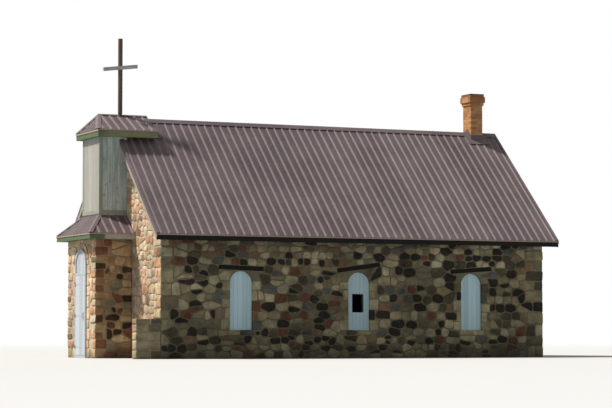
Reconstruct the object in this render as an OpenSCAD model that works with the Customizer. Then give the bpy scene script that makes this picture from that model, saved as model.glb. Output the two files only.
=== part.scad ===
// Small fieldstone chapel with an entrance porch, a boarded belfry and ribbed metal roofs.
// X runs along the nave with the porch at -X, Z is up, and the origin is at ground level
// under the middle of the nave.

/* [Nave] */
// Outside length of the nave, gable to gable
nave_l = 11100; // [8400:50:14000]
// Outside width of the nave
nave_w = 6400; // [5200:50:8000]
// Thickness of the nave walls
wall_t = 550; // [400:10:680]
// Height of the stone side walls
wall_h = 3200; // [2700:50:4000]
// Thickness of the stone floor
floor_t = 60; // [50:5:120]

/* [Windows] */
// Width of a window opening
window_w = 640; // [450:10:800]
// Height from the sill to the crown of the arch
window_h = 1520; // [1100:10:1800]
// Height of the sill above the ground
sill_z = 720; // [500:10:900]
// Distance between window centres
window_pitch = 3350; // [2400:50:3700]
// Depth of the boards behind the outer face of the wall
board_set = 90; // [40:10:160]
// Thickness of the window boards
window_board_t = 24; // [16:1:40]
// Size of the square hole left in the middle board of the right side
hole_w = 330; // [200:10:400]
// Height of that hole
hole_h = 480; // [300:10:600]
// Length of a timber lintel
lintel_l = 1250; // [1000:10:1500]
// Height of a timber lintel
lintel_h = 110; // [90:10:180]
// Depth of a timber lintel into the wall
lintel_d = 180; // [120:10:260]
// Projection of a lintel in front of the wall
lintel_out = 20; // [0:5:40]

/* [Nave roof] */
// Slope of the nave roof in degrees
pitch = 42.5; // [36:0.5:48]
// Overhang of the roof beyond the side walls
eave_over = 300; // [200:10:450]
// Overhang beyond the front gable
front_over = 220; // [120:10:350]
// Overhang beyond the rear gable
rear_over = 350; // [120:10:450]
// Depth of a rafter
rafter_d = 120; // [100:5:180]
// Width of a rafter
rafter_w = 50; // [38:1:80]
// Distance between rafters
rafter_pitch = 610; // [400:10:800]
// Thickness of the roof boards
deck_t = 25; // [18:1:32]
// Thickness of the wall plates
plate_t = 80; // [50:5:120]
// Width of the wall plates
plate_w = 200; // [120:10:260]
// Height of the eave fascia
fascia_h = 130; // [90:5:200]
// Thickness of fascia and barge boards
fascia_t = 25; // [18:1:40]

/* [Ribbed metal sheet] */
// Distance between ribs
rib_pitch = 228.6; // [150:0.1:300]
// Height of a rib
rib_h = 20; // [10:1:35]
// Width of a rib at its foot
rib_foot = 46; // [30:1:70]
// Width of a rib at its top
rib_top = 20; // [10:1:28]
// Thickness of the sheet
sheet_t = 1; // [0.5:0.1:2]

/* [Chimney] */
// Length of the shaft along the nave
chimney_x = 360; // [300:10:520]
// Width of the shaft across the nave
chimney_y = 460; // [400:10:900]
// Distance from the rear gable face to the middle of the shaft
chimney_in = 370; // [260:10:450]
// Height of the chimney above the nave ridge
chimney_above = 1090; // [700:10:1500]
// Height of the projecting cap
chimney_cap_h = 330; // [200:10:400]
// Projection of the cap beyond the shaft
chimney_cap_out = 60; // [30:5:90]
// Wall of the flue
flue_wall = 100; // [90:5:130]

/* [Porch] */
// Outside width of the porch
porch_w = 2200; // [2000:20:2600]
// Projection of the porch in front of the gable
porch_d = 1000; // [950:10:1400]
// Thickness of the porch walls
porch_t = 400; // [300:10:450]
// Height of the porch walls
porch_h = 3150; // [3050:10:3300]
// Width of the entrance
door_w = 860; // [800:10:1100]
// Height of the crown of the entrance arch above the ground
door_h = 2860; // [2600:10:2900]
// Width of the doorway through the front gable
inner_w = 1100; // [900:10:1200]
// Height of the crown of that doorway
inner_h = 2600; // [2300:10:2800]
// Height of the low wing wall in front of the right corner
wing_h = 1000; // [600:10:1300]
// Length of the wing wall in front of the gable
wing_l = 650; // [400:10:900]
// Thickness of the wing wall
wing_t = 260; // [200:10:550]

/* [Skirt roof] */
// Overhang of the skirt roof beyond the porch
skirt_over = 270; // [200:10:340]
// Height of its eave, measured on top of the ribs
skirt_eave_z = 3250; // [3230:10:3300]
// Height of its upper edge on the belfry
skirt_top_z = 3760; // [3700:10:3900]
// Height of its fascia
skirt_fascia_h = 115; // [90:5:150]

/* [Belfry] */
// Width of the belfry
belfry_w = 1300; // [1200:10:1500]
// Distance from the front gable to the belfry front
belfry_d = 750; // [700:10:800]
// Thickness of the belfry boarding
belfry_t = 30; // [22:1:50]
// Width of the corner boards and base boards
trim_w = 100; // [70:5:140]
// Thickness of the corner boards and base boards
trim_t = 20; // [14:1:30]
// Overhang of the cap roof at the sides
cap_over = 260; // [150:10:300]
// Overhang of the cap roof at the front
cap_front_over = 140; // [100:10:300]
// Length of the cap roof behind the front gable
cap_back = 790; // [600:10:1100]
// Height of the cap ridge above the nave ridge
cap_above = 80; // [60:5:160]
// Rise of the cap roof from its eave to its ridge
cap_rise = 470; // [380:10:560]
// Length of the sloping front end of the cap roof
cap_hip = 320; // [260:10:420]
// Height of the cap fascia
cap_fascia_h = 200; // [140:10:240]

/* [Cross] */
// Height of the cross above the cap ridge
cross_h = 2030; // [1400:10:2400]
// Length of the cross arm
cross_arm_l = 960; // [700:10:1200]
// Height of the arm above the cap ridge
cross_arm_z = 1250; // [900:10:1500]
// Lean of the arm in degrees
cross_lean = 7; // [0:1:12]
// Distance from the front gable back to the post
cross_in = 40; // [0:10:200]
// Width of the cross timbers
cross_w = 95; // [70:5:130]

/* [Door] */
// Width of the door frame face
frame_w = 55; // [40:5:80]
// Depth of the door frame
frame_d = 95; // [80:5:130]
// Projection of the frame in front of the porch face
frame_out = 50; // [20:5:70]
// Height of the top of the door leaf
leaf_top = 2150; // [1950:10:2250]
// Thickness of the door leaf
leaf_t = 45; // [35:1:60]
// Clearance round the door leaf
leaf_gap = 6; // [5:1:10]
// Radius of the hinge barrels
barrel_r = 9; // [7:1:12]
// Radius of the hinge pins
pin_r = 4; // [3:0.5:5]

/* [Hidden] */

stone = "#b5aa9a";
metal = "#9a8686";
timber = "#8f8168";
white_paint = "#dcdad2";
green_paint = "#6f7d62";
brick = "#b5764a";

far = 20000;
front_x = -nave_l / 2;
rear_x = nave_l / 2;
half_w = nave_w / 2;
inner_y = half_w - wall_t;
inner_x = nave_l / 2 - wall_t;

// Roof build-up, measured square to the slope from the underside of the rafters
plate_in = 40;
seat_cut = 30;
plate_top = wall_h + plate_t;
deck_top = rafter_d + deck_t;
sheet_top = deck_top + sheet_t + rib_h;
cap_sheet_t = 2;
roof_top = sheet_top + cap_sheet_t;
ridge_board_t = 40;
ridge_board_h = 200;
ridge_cap_run = 120;
drip = 20;
rake_front = front_x - front_over;
rake_rear = rear_x + rear_over;
eave_y = half_w + eave_over;
under_z = plate_top - seat_cut + (half_w - plate_in) * tan(pitch);
function rise(t, p) = t / cos(p);
function nave_z(y, t) = under_z + rise(t, pitch) - abs(y) * tan(pitch);
ridge_z = nave_z(0, roof_top);
fascia_bottom = nave_z(eave_y - drip, rafter_d) - fascia_h;

// Windows
window_x = [-window_pitch, 0, window_pitch];
lintel_tilt = [2, -8, -4];
lintel_lift = [20, 70, 35];
lintel_gap = 1;

// Chimney
chimney_cx = rear_x - chimney_in;
seat_z = nave_z(chimney_y / 2, rafter_d) - 40;
flue_x = chimney_x - 2 * flue_wall;
flue_y = chimney_y - 2 * flue_wall;
chimney_top = ridge_z + chimney_above;
cap_bottom = chimney_top - chimney_cap_h;
hole_gap = 12;
flashing_w = 160;

// Porch and belfry
porch_x = front_x - porch_d;
porch_y = porch_w / 2;
porch_in = porch_y - porch_t;
ceiling_t = 60;
ceiling_top = porch_h + ceiling_t;
door_spring = door_h - door_w / 2;
inner_spring = inner_h - inner_w / 2;
belfry_x = front_x - belfry_d;
belfry_y = belfry_w / 2;
small_deck_t = 20;
small_top = small_deck_t + sheet_t + rib_h;
skirt_x = porch_x - skirt_over;
skirt_y = porch_y + skirt_over;
skirt_rise = skirt_top_z - skirt_eave_z;
skirt_side_run = skirt_y - belfry_y;
skirt_front_run = belfry_x - skirt_x;
skirt_side_pitch = atan(skirt_rise / skirt_side_run);
skirt_front_pitch = atan(skirt_rise / skirt_front_run);
box_t = 20;

// Cap roof of the belfry
cap_ridge_z = ridge_z + cap_above;
cap_eave_z = cap_ridge_z - cap_rise;
cap_y = belfry_y + cap_over;
cap_front = belfry_x - cap_front_over;
cap_rear = front_x + cap_back;
cap_side_pitch = atan(cap_rise / cap_y);
cap_end_pitch = atan(cap_rise / cap_hip);
cap_ridge_front = cap_front + cap_hip;
cap_under_side = cap_eave_z - rise(small_top, cap_side_pitch);
cap_box_bottom = cap_eave_z - cap_fascia_h;
belfry_top = cap_under_side + (cap_y - belfry_y) * tan(cap_side_pitch);
notch_y = belfry_y + trim_t + 10;
roof_gap = 2;
hip_cap_w = 75;
ridge_cap_tuck = 200;

// Cross
cross_x = front_x + cross_in;
cross_foot = cap_ridge_z - 50;

// Door
frame_x = porch_x - frame_out;
door_y = door_w / 2;
leaf_y = door_y - frame_w - leaf_gap;
leaf_bottom = floor_t + 10;
leaf_x = frame_x;
transom_h = 70;
leaf_head = leaf_top + leaf_gap;
pin_x = leaf_x - barrel_r - 0.5;
pin_y = leaf_y + leaf_gap / 2;
hinge_z = [leaf_bottom + 220, (leaf_bottom + leaf_top) / 2, leaf_top - 220];
knuckle_h = 34;
knuckle_gap = 1;
strap_t = 4;
stop_w = 18;

// Shared shapes

// Turns a shape that faces -Y (right) so that it faces another side
module facing(turn) rotate([0, 0, turn]) children();

// Slab lying from lift to lift + t square above a plane that falls towards -Y from the X axis
module falling_slab(l, run, p, lift, t)
    rotate([90 + p, 0, 0])
        translate([-l / 2, lift, -t - lift - 60])
            linear_extrude(run / cos(p) + t + lift + 120) square([l, t]);

// Outline of the tops of the ribs along a sheet, raised by dy
function rib_count(l) = floor((l - 2 * rib_foot) / rib_pitch);
function rib_start(l) = (l - rib_count(l) * rib_pitch) / 2;
function rib_line(l, dy) = [for (k = [0:rib_count(l)], q = [[-rib_foot / 2, 0], [-rib_top / 2, rib_h],
    [rib_top / 2, rib_h], [rib_foot / 2, 0]]) [rib_start(l) + k * rib_pitch + q[0], dy + q[1]]];
function backwards(v) = [for (k = [len(v) - 1:-1:0]) v[k]];

// Ribbed sheet lying at the given lift above the same falling plane
module falling_sheet(l, run, p, lift)
    rotate([90 + p, 0, 0])
        translate([-l / 2, lift, -lift - 60])
            linear_extrude(run / cos(p) + lift + 120)
                polygon(concat([[0, 0], [0, sheet_t]], rib_line(l, sheet_t),
                    [[l, sheet_t], [l, 0]], backwards(rib_line(l, 0))));

// Plan strip of width w on the left of the way from a to b
function strip(a, b, w) = let (n = [a[1] - b[1], b[0] - a[0]] / norm(b - a)) [a, b, b + w * n, a + w * n];

// Upright prism over a plan outline
module over_plan(points) translate([0, 0, -far]) linear_extrude(2 * far) polygon(points);

// Arched opening through a wall that runs along X, from z0 up to its crown
module arch_hole(w, z0, crown, depth) {
    spring = crown - w / 2;
    translate([-w / 2, -depth / 2, z0]) cube([w, depth, spring - z0]);
    intersection() {
        translate([0, 0, spring]) rotate([90, 0, 0]) cylinder(h = depth, d = w, center = true, $fn = 64);
        translate([-w / 2, -depth / 2, spring]) cube([w, depth, w]);
    }
}

// Nave roof

module nave_plan(y0, y1)
    over_plan([[rake_front, -y1], [rake_rear, -y1], [rake_rear, -y0], [rake_front, -y0]]);

// Space that the belfry takes out of the front overhang
module belfry_notch()
    translate([rake_front - 1, -notch_y, 0]) cube([front_over + 1, 2 * notch_y, far]);

// Space that the chimney takes, widened by a gap
module chimney_space(gap)
    translate([chimney_cx - chimney_x / 2 - gap, -chimney_y / 2 - gap, 0])
        cube([chimney_x + 2 * gap, chimney_y + 2 * gap, far]);

module right_slope_deck()
    difference() {
        intersection() {
            translate([0, 0, under_z]) falling_slab(2 * far, eave_y, pitch, rafter_d, deck_t);
            nave_plan(0, eave_y - drip / 2);
        }
        belfry_notch();
        chimney_space(hole_gap);
    }

module right_slope_sheet()
    difference() {
        intersection() {
            translate([(rake_front + rake_rear) / 2, 0, under_z])
                falling_sheet(rake_rear - rake_front, eave_y, pitch, deck_top);
            nave_plan(0, eave_y);
        }
        belfry_notch();
        chimney_space(hole_gap);
    }

module other_side() mirror([0, 1, 0]) children();
module both_sides() {
    children();
    other_side() children();
}

module right_roof_boards() color(timber) right_slope_deck();
module left_roof_boards() color(timber) other_side() right_slope_deck();
module right_roof_sheet() color(metal) right_slope_sheet();
module left_roof_sheet() color(metal) other_side() right_slope_sheet();

module ridge_cap()
    color(metal) difference() {
        both_sides() intersection() {
            translate([0, 0, under_z]) falling_slab(2 * far, ridge_cap_run, pitch, sheet_top, cap_sheet_t);
            over_plan([[cap_rear - ridge_cap_tuck, 0], [rake_rear, 0], [rake_rear, -ridge_cap_run],
                [cap_rear - ridge_cap_tuck, -ridge_cap_run]]);
        }
        chimney_space(hole_gap);
    }

// Rafters stand between the gables and stop at the ridge board and the eave fascia
module rafters() {
    count = floor((2 * inner_x - 2 * rafter_w) / rafter_pitch);
    tail_y = eave_y - drip - fascia_t;
    color(timber) both_sides() for (k = [0:count])
        difference() {
            intersection() {
                translate([(k - count / 2) * rafter_pitch, 0, under_z])
                    falling_slab(rafter_w, eave_y, pitch, 0, rafter_d);
                over_plan([[-far, -tail_y], [far, -tail_y], [far, -ridge_board_t / 2],
                    [-far, -ridge_board_t / 2]]);
            }
            translate([-far, -far, 0]) cube([2 * far, 2 * far, fascia_bottom]);
            translate([-far, -half_w + plate_in, 0]) cube([2 * far, plate_w, plate_top]);
        }
}

module ridge_board()
    color(timber) translate([-inner_x, -ridge_board_t / 2, nave_z(ridge_board_t / 2, rafter_d) - ridge_board_h])
        cube([2 * inner_x, ridge_board_t, ridge_board_h]);

module wall_plates()
    color(timber) both_sides()
        translate([-inner_x, -half_w + plate_in, wall_h]) cube([2 * inner_x, plate_w, plate_t]);

module eave_fascias()
    color(timber) both_sides()
        translate([rake_front, -eave_y + drip, fascia_bottom])
            cube([rake_rear - rake_front, fascia_t, fascia_h]);

module barge_boards()
    color(timber) both_sides() difference() {
        intersection() {
            translate([0, 0, under_z]) falling_slab(2 * far, eave_y, pitch, 0, rafter_d);
            union() {
                over_plan([[rake_front, -eave_y + drip + fascia_t], [rake_front, 0],
                    [rake_front + fascia_t, 0], [rake_front + fascia_t, -eave_y + drip + fascia_t]]);
                over_plan([[rake_rear - fascia_t, -eave_y + drip + fascia_t], [rake_rear - fascia_t, 0],
                    [rake_rear, 0], [rake_rear, -eave_y + drip + fascia_t]]);
            }
        }
        belfry_notch();
    }

// Walls

module gable_outline()
    polygon([[-inner_y, 0], [inner_y, 0], [inner_y, wall_h], [half_w, wall_h],
        [half_w, nave_z(half_w, rafter_d)], [0, nave_z(0, rafter_d)],
        [-half_w, nave_z(half_w, rafter_d)], [-half_w, wall_h], [-inner_y, wall_h]]);

module standing(x, t) translate([x, 0, 0]) rotate([90, 0, 90]) linear_extrude(t) children();

module inner_arch()
    translate([front_x + wall_t / 2, 0, 0]) rotate([0, 0, 90]) arch_hole(inner_w, -1, inner_h, wall_t + 2);

module front_gable_head()
    color(stone) difference() {
        standing(front_x, wall_t) gable_outline();
        translate([front_x - 1, -far, -1]) cube([wall_t + 2, 2 * far, inner_spring + 1]);
        inner_arch();
    }

module front_gable_side()
    translate([front_x, -inner_y, 0]) cube([wall_t, inner_y - inner_w / 2, inner_spring]);
module front_gable_right() color(stone) front_gable_side();
module front_gable_left() color(stone) other_side() front_gable_side();

// The shaft is seated in a pocket in the top of the rear gable
module rear_gable()
    color(stone) difference() {
        standing(rear_x - wall_t, wall_t) gable_outline();
        intersection() {
            chimney_space(0);
            translate([-far, -far, seat_z]) cube(2 * far);
        }
    }

module lintel(k, gap)
    translate([window_x[k], -half_w - lintel_out - gap, sill_z + window_h + lintel_lift[k] - gap])
        rotate([0, lintel_tilt[k], 0])
            translate([-lintel_l / 2 - gap, 0, 0])
                cube([lintel_l + 2 * gap, lintel_out + lintel_d + gap, lintel_h + gap]);

module side_wall()
    difference() {
        translate([front_x, -half_w, 0]) cube([nave_l, wall_t, wall_h]);
        for (x = window_x) translate([x, -half_w + wall_t / 2, 0])
            arch_hole(window_w, sill_z, sill_z + window_h, wall_t + 2);
        for (k = [0:2]) lintel(k, lintel_gap);
    }
module right_wall() color(stone) side_wall();
module left_wall() color(stone) other_side() side_wall();

module window_lintels() color(timber) both_sides() for (k = [0:2]) lintel(k, 0);

module window_boards()
    for (x = window_x) translate([x, -half_w + board_set + window_board_t / 2, 0])
        arch_hole(window_w - 1, sill_z, sill_z + window_h - 0.5, window_board_t);
module right_window_boards()
    color(white_paint) difference() {
        window_boards();
        translate([-hole_w / 2, -half_w, sill_z + window_h * 0.31]) cube([hole_w, wall_t, hole_h]);
    }
module left_window_boards() color(white_paint) other_side() window_boards();

module nave_floor()
    color(stone) translate([-inner_x, -inner_y, 0]) cube([2 * inner_x, 2 * inner_y, floor_t]);

// Porch

module porch_arch()
    translate([porch_x + porch_t / 2, 0, 0]) rotate([0, 0, 90]) arch_hole(door_w, -1, door_h, porch_t + 2);

module porch_side() translate([porch_x + porch_t, -porch_y, 0])
    cube([porch_d - porch_t, porch_t, porch_h]);
module porch_right_wall() color(stone) porch_side();
module porch_left_wall() color(stone) other_side() porch_side();

module porch_pier() translate([porch_x, -porch_y, 0])
    cube([porch_t, porch_y - door_w / 2, door_spring]);
module porch_front_right() color(stone) porch_pier();
module porch_front_left() color(stone) other_side() porch_pier();

module porch_front_head()
    color(stone) difference() {
        translate([porch_x, -porch_y, door_spring]) cube([porch_t, porch_w, porch_h - door_spring]);
        porch_arch();
    }

module porch_floor()
    color(stone) union() {
        translate([porch_x + porch_t, -porch_in, 0]) cube([porch_d - porch_t, 2 * porch_in, floor_t]);
        translate([front_x, -inner_w / 2, 0]) cube([wall_t, inner_w, floor_t]);
        translate([frame_x + frame_d, -door_y, 0]) cube([porch_t + frame_out - frame_d, door_w, floor_t]);
    }

module porch_ceiling()
    color(timber) translate([porch_x, -porch_y, porch_h]) cube([porch_d, porch_w, ceiling_t]);

module wing_wall() color(stone) translate([front_x - wing_l, -half_w, 0]) cube([wing_l, wing_t, wing_h]);

// Skirt roof round the foot of the belfry

skirt_right_plan = [[skirt_x, -skirt_y], [front_x, -skirt_y], [front_x, -belfry_y], [belfry_x, -belfry_y]];
skirt_front_plan = [[skirt_x, -skirt_y], [belfry_x, -belfry_y], [belfry_x, belfry_y], [skirt_x, skirt_y]];

module on_skirt_side()
    translate([0, -belfry_y, skirt_top_z - rise(small_top, skirt_side_pitch)]) children();
module on_skirt_front()
    translate([belfry_x, 0, skirt_top_z - rise(small_top, skirt_front_pitch)]) facing(-90) children();

module skirt_side_deck() intersection() {
    on_skirt_side() falling_slab(2 * far, skirt_side_run, skirt_side_pitch, 0, small_deck_t);
    over_plan(skirt_right_plan);
}
module skirt_boards()
    color(timber) union() {
        both_sides() skirt_side_deck();
        intersection() {
            on_skirt_front() falling_slab(2 * far, skirt_front_run, skirt_front_pitch, 0, small_deck_t);
            over_plan(skirt_front_plan);
        }
    }

module skirt_side_sheet() intersection() {
    translate([(skirt_x + front_x) / 2, 0, 0]) on_skirt_side()
        falling_sheet(front_x - skirt_x, skirt_side_run, skirt_side_pitch, small_deck_t);
    over_plan(skirt_right_plan);
}
module skirt_roof_right() color(metal) skirt_side_sheet();
module skirt_roof_left() color(metal) other_side() skirt_side_sheet();
module skirt_roof_front()
    color(metal) intersection() {
        on_skirt_front() falling_sheet(2 * skirt_y, skirt_front_run, skirt_front_pitch, small_deck_t);
        over_plan(skirt_front_plan);
    }

// Folded caps over the two hips
module skirt_hip_caps() {
    top = [belfry_x, -belfry_y];
    corner = [skirt_x, -skirt_y];
    color(metal) both_sides() {
        intersection() {
            on_skirt_side() falling_slab(2 * far, skirt_side_run, skirt_side_pitch, small_top, cap_sheet_t);
            over_plan(strip(top, corner, hip_cap_w));
            over_plan(skirt_right_plan);
        }
        intersection() {
            on_skirt_front() falling_slab(2 * far, skirt_front_run, skirt_front_pitch, small_top, cap_sheet_t);
            over_plan(strip(corner, top, hip_cap_w));
            over_plan(skirt_front_plan);
        }
    }
}

// Fascia boards and level soffit as one box under an eave
module skirt_eave_box() {
    box_drip = 15;
    side_under = skirt_eave_z + box_drip * tan(skirt_side_pitch) - rise(small_top, skirt_side_pitch);
    front_under = skirt_eave_z + box_drip * tan(skirt_front_pitch) - rise(small_top, skirt_front_pitch);
    top = min(side_under, front_under);
    bottom = skirt_eave_z - skirt_fascia_h - rise(small_top, skirt_side_pitch);
    color(green_paint) difference() {
        translate([skirt_x + box_drip, -skirt_y + box_drip, bottom])
            cube([front_x - skirt_x - box_drip, 2 * (skirt_y - box_drip), top - bottom]);
        translate([skirt_x + box_drip + fascia_t, -skirt_y + box_drip + fascia_t, bottom + box_t])
            cube([far, 2 * (skirt_y - box_drip - fascia_t), far]);
        translate([porch_x, -porch_y, 0]) cube([far, porch_w, far]);
    }
}

// Belfry

module belfry_side() translate([belfry_x + belfry_t, -belfry_y, ceiling_top])
    cube([belfry_d - belfry_t, belfry_t, belfry_top - ceiling_top]);
module belfry_right() color(green_paint) belfry_side();
module belfry_left() color(green_paint) other_side() belfry_side();
module belfry_front()
    color(white_paint) translate([belfry_x, -belfry_y, ceiling_top])
        cube([belfry_t, belfry_w, belfry_top - ceiling_top]);

// Corner boards stand on base boards that run round the foot
module belfry_trim() {
    foot = skirt_top_z + 4;
    color(green_paint) difference() {
        union() {
            translate([belfry_x - trim_t, -belfry_y - trim_t, foot])
                cube([belfry_d + trim_t, belfry_w + 2 * trim_t, trim_w]);
            both_sides() translate([belfry_x - trim_t, -belfry_y - trim_t, foot])
                cube([trim_w, trim_w, cap_box_bottom - foot]);
        }
        translate([belfry_x, -belfry_y, 0]) cube([far, belfry_w, far]);
    }
}

// Solid under the nave roof surface, used to scribe the cap roof to it
module nave_under(gap)
    standing(-far, 2 * far) polygon([[-half_w, 0], [half_w, 0], [half_w, nave_z(half_w, roof_top + gap)],
        [0, nave_z(0, roof_top + gap)], [-half_w, nave_z(half_w, roof_top + gap)]]);

module scribed() difference() {
    children();
    intersection() {
        nave_under(roof_gap);
        translate([rake_front, -far, 0]) cube([far, 2 * far, far]);
    }
}

// The rear end of the box is a gable board that stands on the nave roof
module belfry_eave_box() {
    box_drip = 15;
    box_y = cap_y - box_drip;
    side_under = cap_under_side + box_drip * tan(cap_side_pitch);
    front_under = cap_eave_z + box_drip * tan(cap_end_pitch) - rise(small_top, cap_end_pitch);
    top = min(side_under, front_under);
    color(green_paint) scribed() union() {
        difference() {
            translate([cap_front + box_drip, -box_y, cap_box_bottom])
                cube([cap_rear - cap_front - 2 * box_drip, 2 * box_y, top - cap_box_bottom]);
            translate([cap_front + box_drip + fascia_t, -box_y + fascia_t, cap_box_bottom + box_t])
                cube([cap_rear - cap_front - 2 * (box_drip + fascia_t), 2 * (box_y - fascia_t), far]);
            translate([belfry_x, -belfry_y, 0]) cube([belfry_d, belfry_w, far]);
        }
        standing(cap_rear - box_drip - fascia_t, fascia_t)
            polygon([[-box_y, cap_box_bottom], [box_y, cap_box_bottom], [box_y, side_under],
                [0, side_under + box_y * tan(cap_side_pitch)], [-box_y, side_under]]);
    }
}

cap_right_plan = [[cap_front, -cap_y], [cap_rear, -cap_y], [cap_rear, 0], [cap_ridge_front, 0]];
cap_front_plan = [[cap_front, -cap_y], [cap_ridge_front, 0], [cap_front, cap_y]];

module on_cap_side() translate([0, 0, cap_ridge_z - rise(small_top, cap_side_pitch)]) children();
module on_cap_front()
    translate([cap_ridge_front, 0, cap_ridge_z - rise(small_top, cap_end_pitch)]) facing(-90) children();

module cap_slope(plan, lift) scribed() intersection() {
    children();
    over_plan(plan);
}

module belfry_roof_boards()
    color(timber) union() {
        both_sides() cap_slope(cap_right_plan)
            on_cap_side() falling_slab(2 * far, cap_y, cap_side_pitch, 0, small_deck_t);
        cap_slope(cap_front_plan) on_cap_front() falling_slab(2 * far, cap_hip, cap_end_pitch, 0, small_deck_t);
    }

module belfry_roof_sheets()
    color(metal) {
        both_sides() cap_slope(cap_right_plan) translate([(cap_front + cap_rear) / 2, 0, 0])
            on_cap_side() falling_sheet(cap_rear - cap_front, cap_y, cap_side_pitch, small_deck_t);
        cap_slope(cap_front_plan) on_cap_front() falling_sheet(2 * cap_y, cap_hip, cap_end_pitch, small_deck_t);
    }

// Folded caps over the ridge and the two hips of the belfry roof
module belfry_hip_caps() {
    top = [cap_ridge_front, 0];
    corner = [cap_front, -cap_y];
    color(metal) both_sides() {
        for (edge = [strip([cap_rear, 0], top, hip_cap_w), strip(top, corner, hip_cap_w)])
            cap_slope(cap_right_plan) intersection() {
                on_cap_side() falling_slab(2 * far, cap_y, cap_side_pitch, small_top, cap_sheet_t);
                over_plan(edge);
            }
        cap_slope(cap_front_plan) intersection() {
            on_cap_front() falling_slab(2 * far, cap_hip, cap_end_pitch, small_top, cap_sheet_t);
            over_plan(strip(corner, top, hip_cap_w));
        }
    }
}

// Cross

// Square timber of the arm, which leans out of level; a cutter reaches further out on the near side
module arm_bar(reach = 0)
    translate([cross_x, 0, cap_ridge_z + cross_arm_z]) rotate([0, -cross_lean, 0])
        translate([-cross_arm_l / 2, -cross_w / 2 - reach, -cross_w / 2])
            cube([cross_arm_l, cross_w + reach, cross_w]);

// The foot of the post is notched over the ridge cap, and the arm is halved into its near side
module cross_post()
    color(timber) difference() {
        translate([cross_x - cross_w / 2, -cross_w / 2, cross_foot])
            cube([cross_w, cross_w, cap_ridge_z + cross_h - cross_foot]);
        both_sides() on_cap_side() falling_slab(2 * far, cap_y, cap_side_pitch, small_top + cap_sheet_t - 200, 200);
        intersection() {
            arm_bar(reach = cross_w);
            translate([-far, -2 * far, 0]) cube(2 * far);
        }
    }

module cross_arm()
    color(timber) difference() {
        arm_bar();
        translate([cross_x - cross_w / 2, 0, 0]) cube([cross_w, cross_w, far]);
    }

// Chimney

module chimney_shaft()
    color(brick) difference() {
        translate([chimney_cx - chimney_x / 2, -chimney_y / 2, seat_z])
            cube([chimney_x, chimney_y, cap_bottom - seat_z]);
        translate([chimney_cx - flue_x / 2, -flue_y / 2, seat_z - 1])
            cube([flue_x, flue_y, far]);
    }

module chimney_cap() {
    course = chimney_cap_h / 4;
    color(brick) difference() {
        for (k = [0:3]) {
            out = chimney_cap_out * [0.5, 1, 1, 0.6][k];
            translate([chimney_cx - chimney_x / 2 - out, -chimney_y / 2 - out, cap_bottom + k * course])
                cube([chimney_x + 2 * out, chimney_y + 2 * out, course]);
        }
        translate([chimney_cx - flue_x / 2, -flue_y / 2, cap_bottom - 1])
            cube([flue_x, flue_y, far]);
    }
}

// Folded metal that closes the roof round the shaft
module chimney_flashing()
    color(metal) both_sides() intersection() {
        union() {
            translate([0, 0, under_z]) falling_slab(2 * far, chimney_y / 2 + flashing_w, pitch, roof_top, cap_sheet_t);
            difference() {
                translate([0, 0, under_z]) falling_slab(2 * far, chimney_y / 2 + flashing_w, pitch, roof_top, 90);
                chimney_space(cap_sheet_t + 0.3);
                difference() {
                    translate([-far, -far, -far]) cube(2 * far);
                    chimney_space(2 * cap_sheet_t);
                }
            }
        }
        difference() {
            over_plan([[chimney_cx - chimney_x / 2 - flashing_w, 0], [chimney_cx + chimney_x / 2 + flashing_w, 0],
                [chimney_cx + chimney_x / 2 + flashing_w, -chimney_y / 2 - flashing_w],
                [chimney_cx - chimney_x / 2 - flashing_w, -chimney_y / 2 - flashing_w]]);
            chimney_space(0.3);
        }
    }

// Door

module door_frame()
    color(white_paint) difference() {
        intersection() {
            translate([frame_x, -door_y, 0]) cube([frame_d, door_w, door_h]);
            translate([frame_x + frame_d / 2, 0, 0]) rotate([0, 0, 90]) arch_hole(door_w, 0, door_h, frame_d + 2);
        }
        translate([frame_x - 1, -door_y + frame_w, leaf_bottom - leaf_gap])
            cube([leaf_t + 10, door_w - 2 * frame_w, leaf_head - leaf_bottom + leaf_gap]);
        translate([frame_x - 1, -door_y + frame_w + stop_w, leaf_bottom - leaf_gap])
            cube([frame_d + 2, door_w - 2 * frame_w - 2 * stop_w, leaf_head - stop_w - leaf_bottom + leaf_gap]);
        translate([frame_x + frame_d / 2, 0, 0]) rotate([0, 0, 90])
            arch_hole(door_w - 2 * frame_w, leaf_head + transom_h, door_h - frame_w, frame_d + 2);
    }

module door_transom()
    color(white_paint) translate([frame_x + frame_d / 2, 0, 0]) rotate([0, 0, 90])
        arch_hole(door_w - 2 * frame_w - 1, leaf_head + transom_h, door_h - frame_w - 0.5, window_board_t);

module front_door()
    color(white_paint) translate([leaf_x, -leaf_y, leaf_bottom])
        cube([leaf_t, 2 * leaf_y, leaf_top - leaf_bottom]);

// Each hinge has two fixed knuckles with the pin and one moving knuckle between them
module door_hinges()
    color(timber) for (z = hinge_z) {
        translate([pin_x, pin_y, z - 1.5 * knuckle_h]) cylinder(h = 3 * knuckle_h, r = pin_r, $fn = 32);
        for (s = [-1, 1]) translate([pin_x, pin_y, z + s * knuckle_h - knuckle_h / 2])
            cylinder(h = knuckle_h, r = barrel_r, $fn = 32);
        for (s = [-1, 1]) translate([frame_x - strap_t, pin_y, z + s * knuckle_h - knuckle_h / 2])
            cube([strap_t, frame_w / 2, knuckle_h]);
    }

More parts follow.
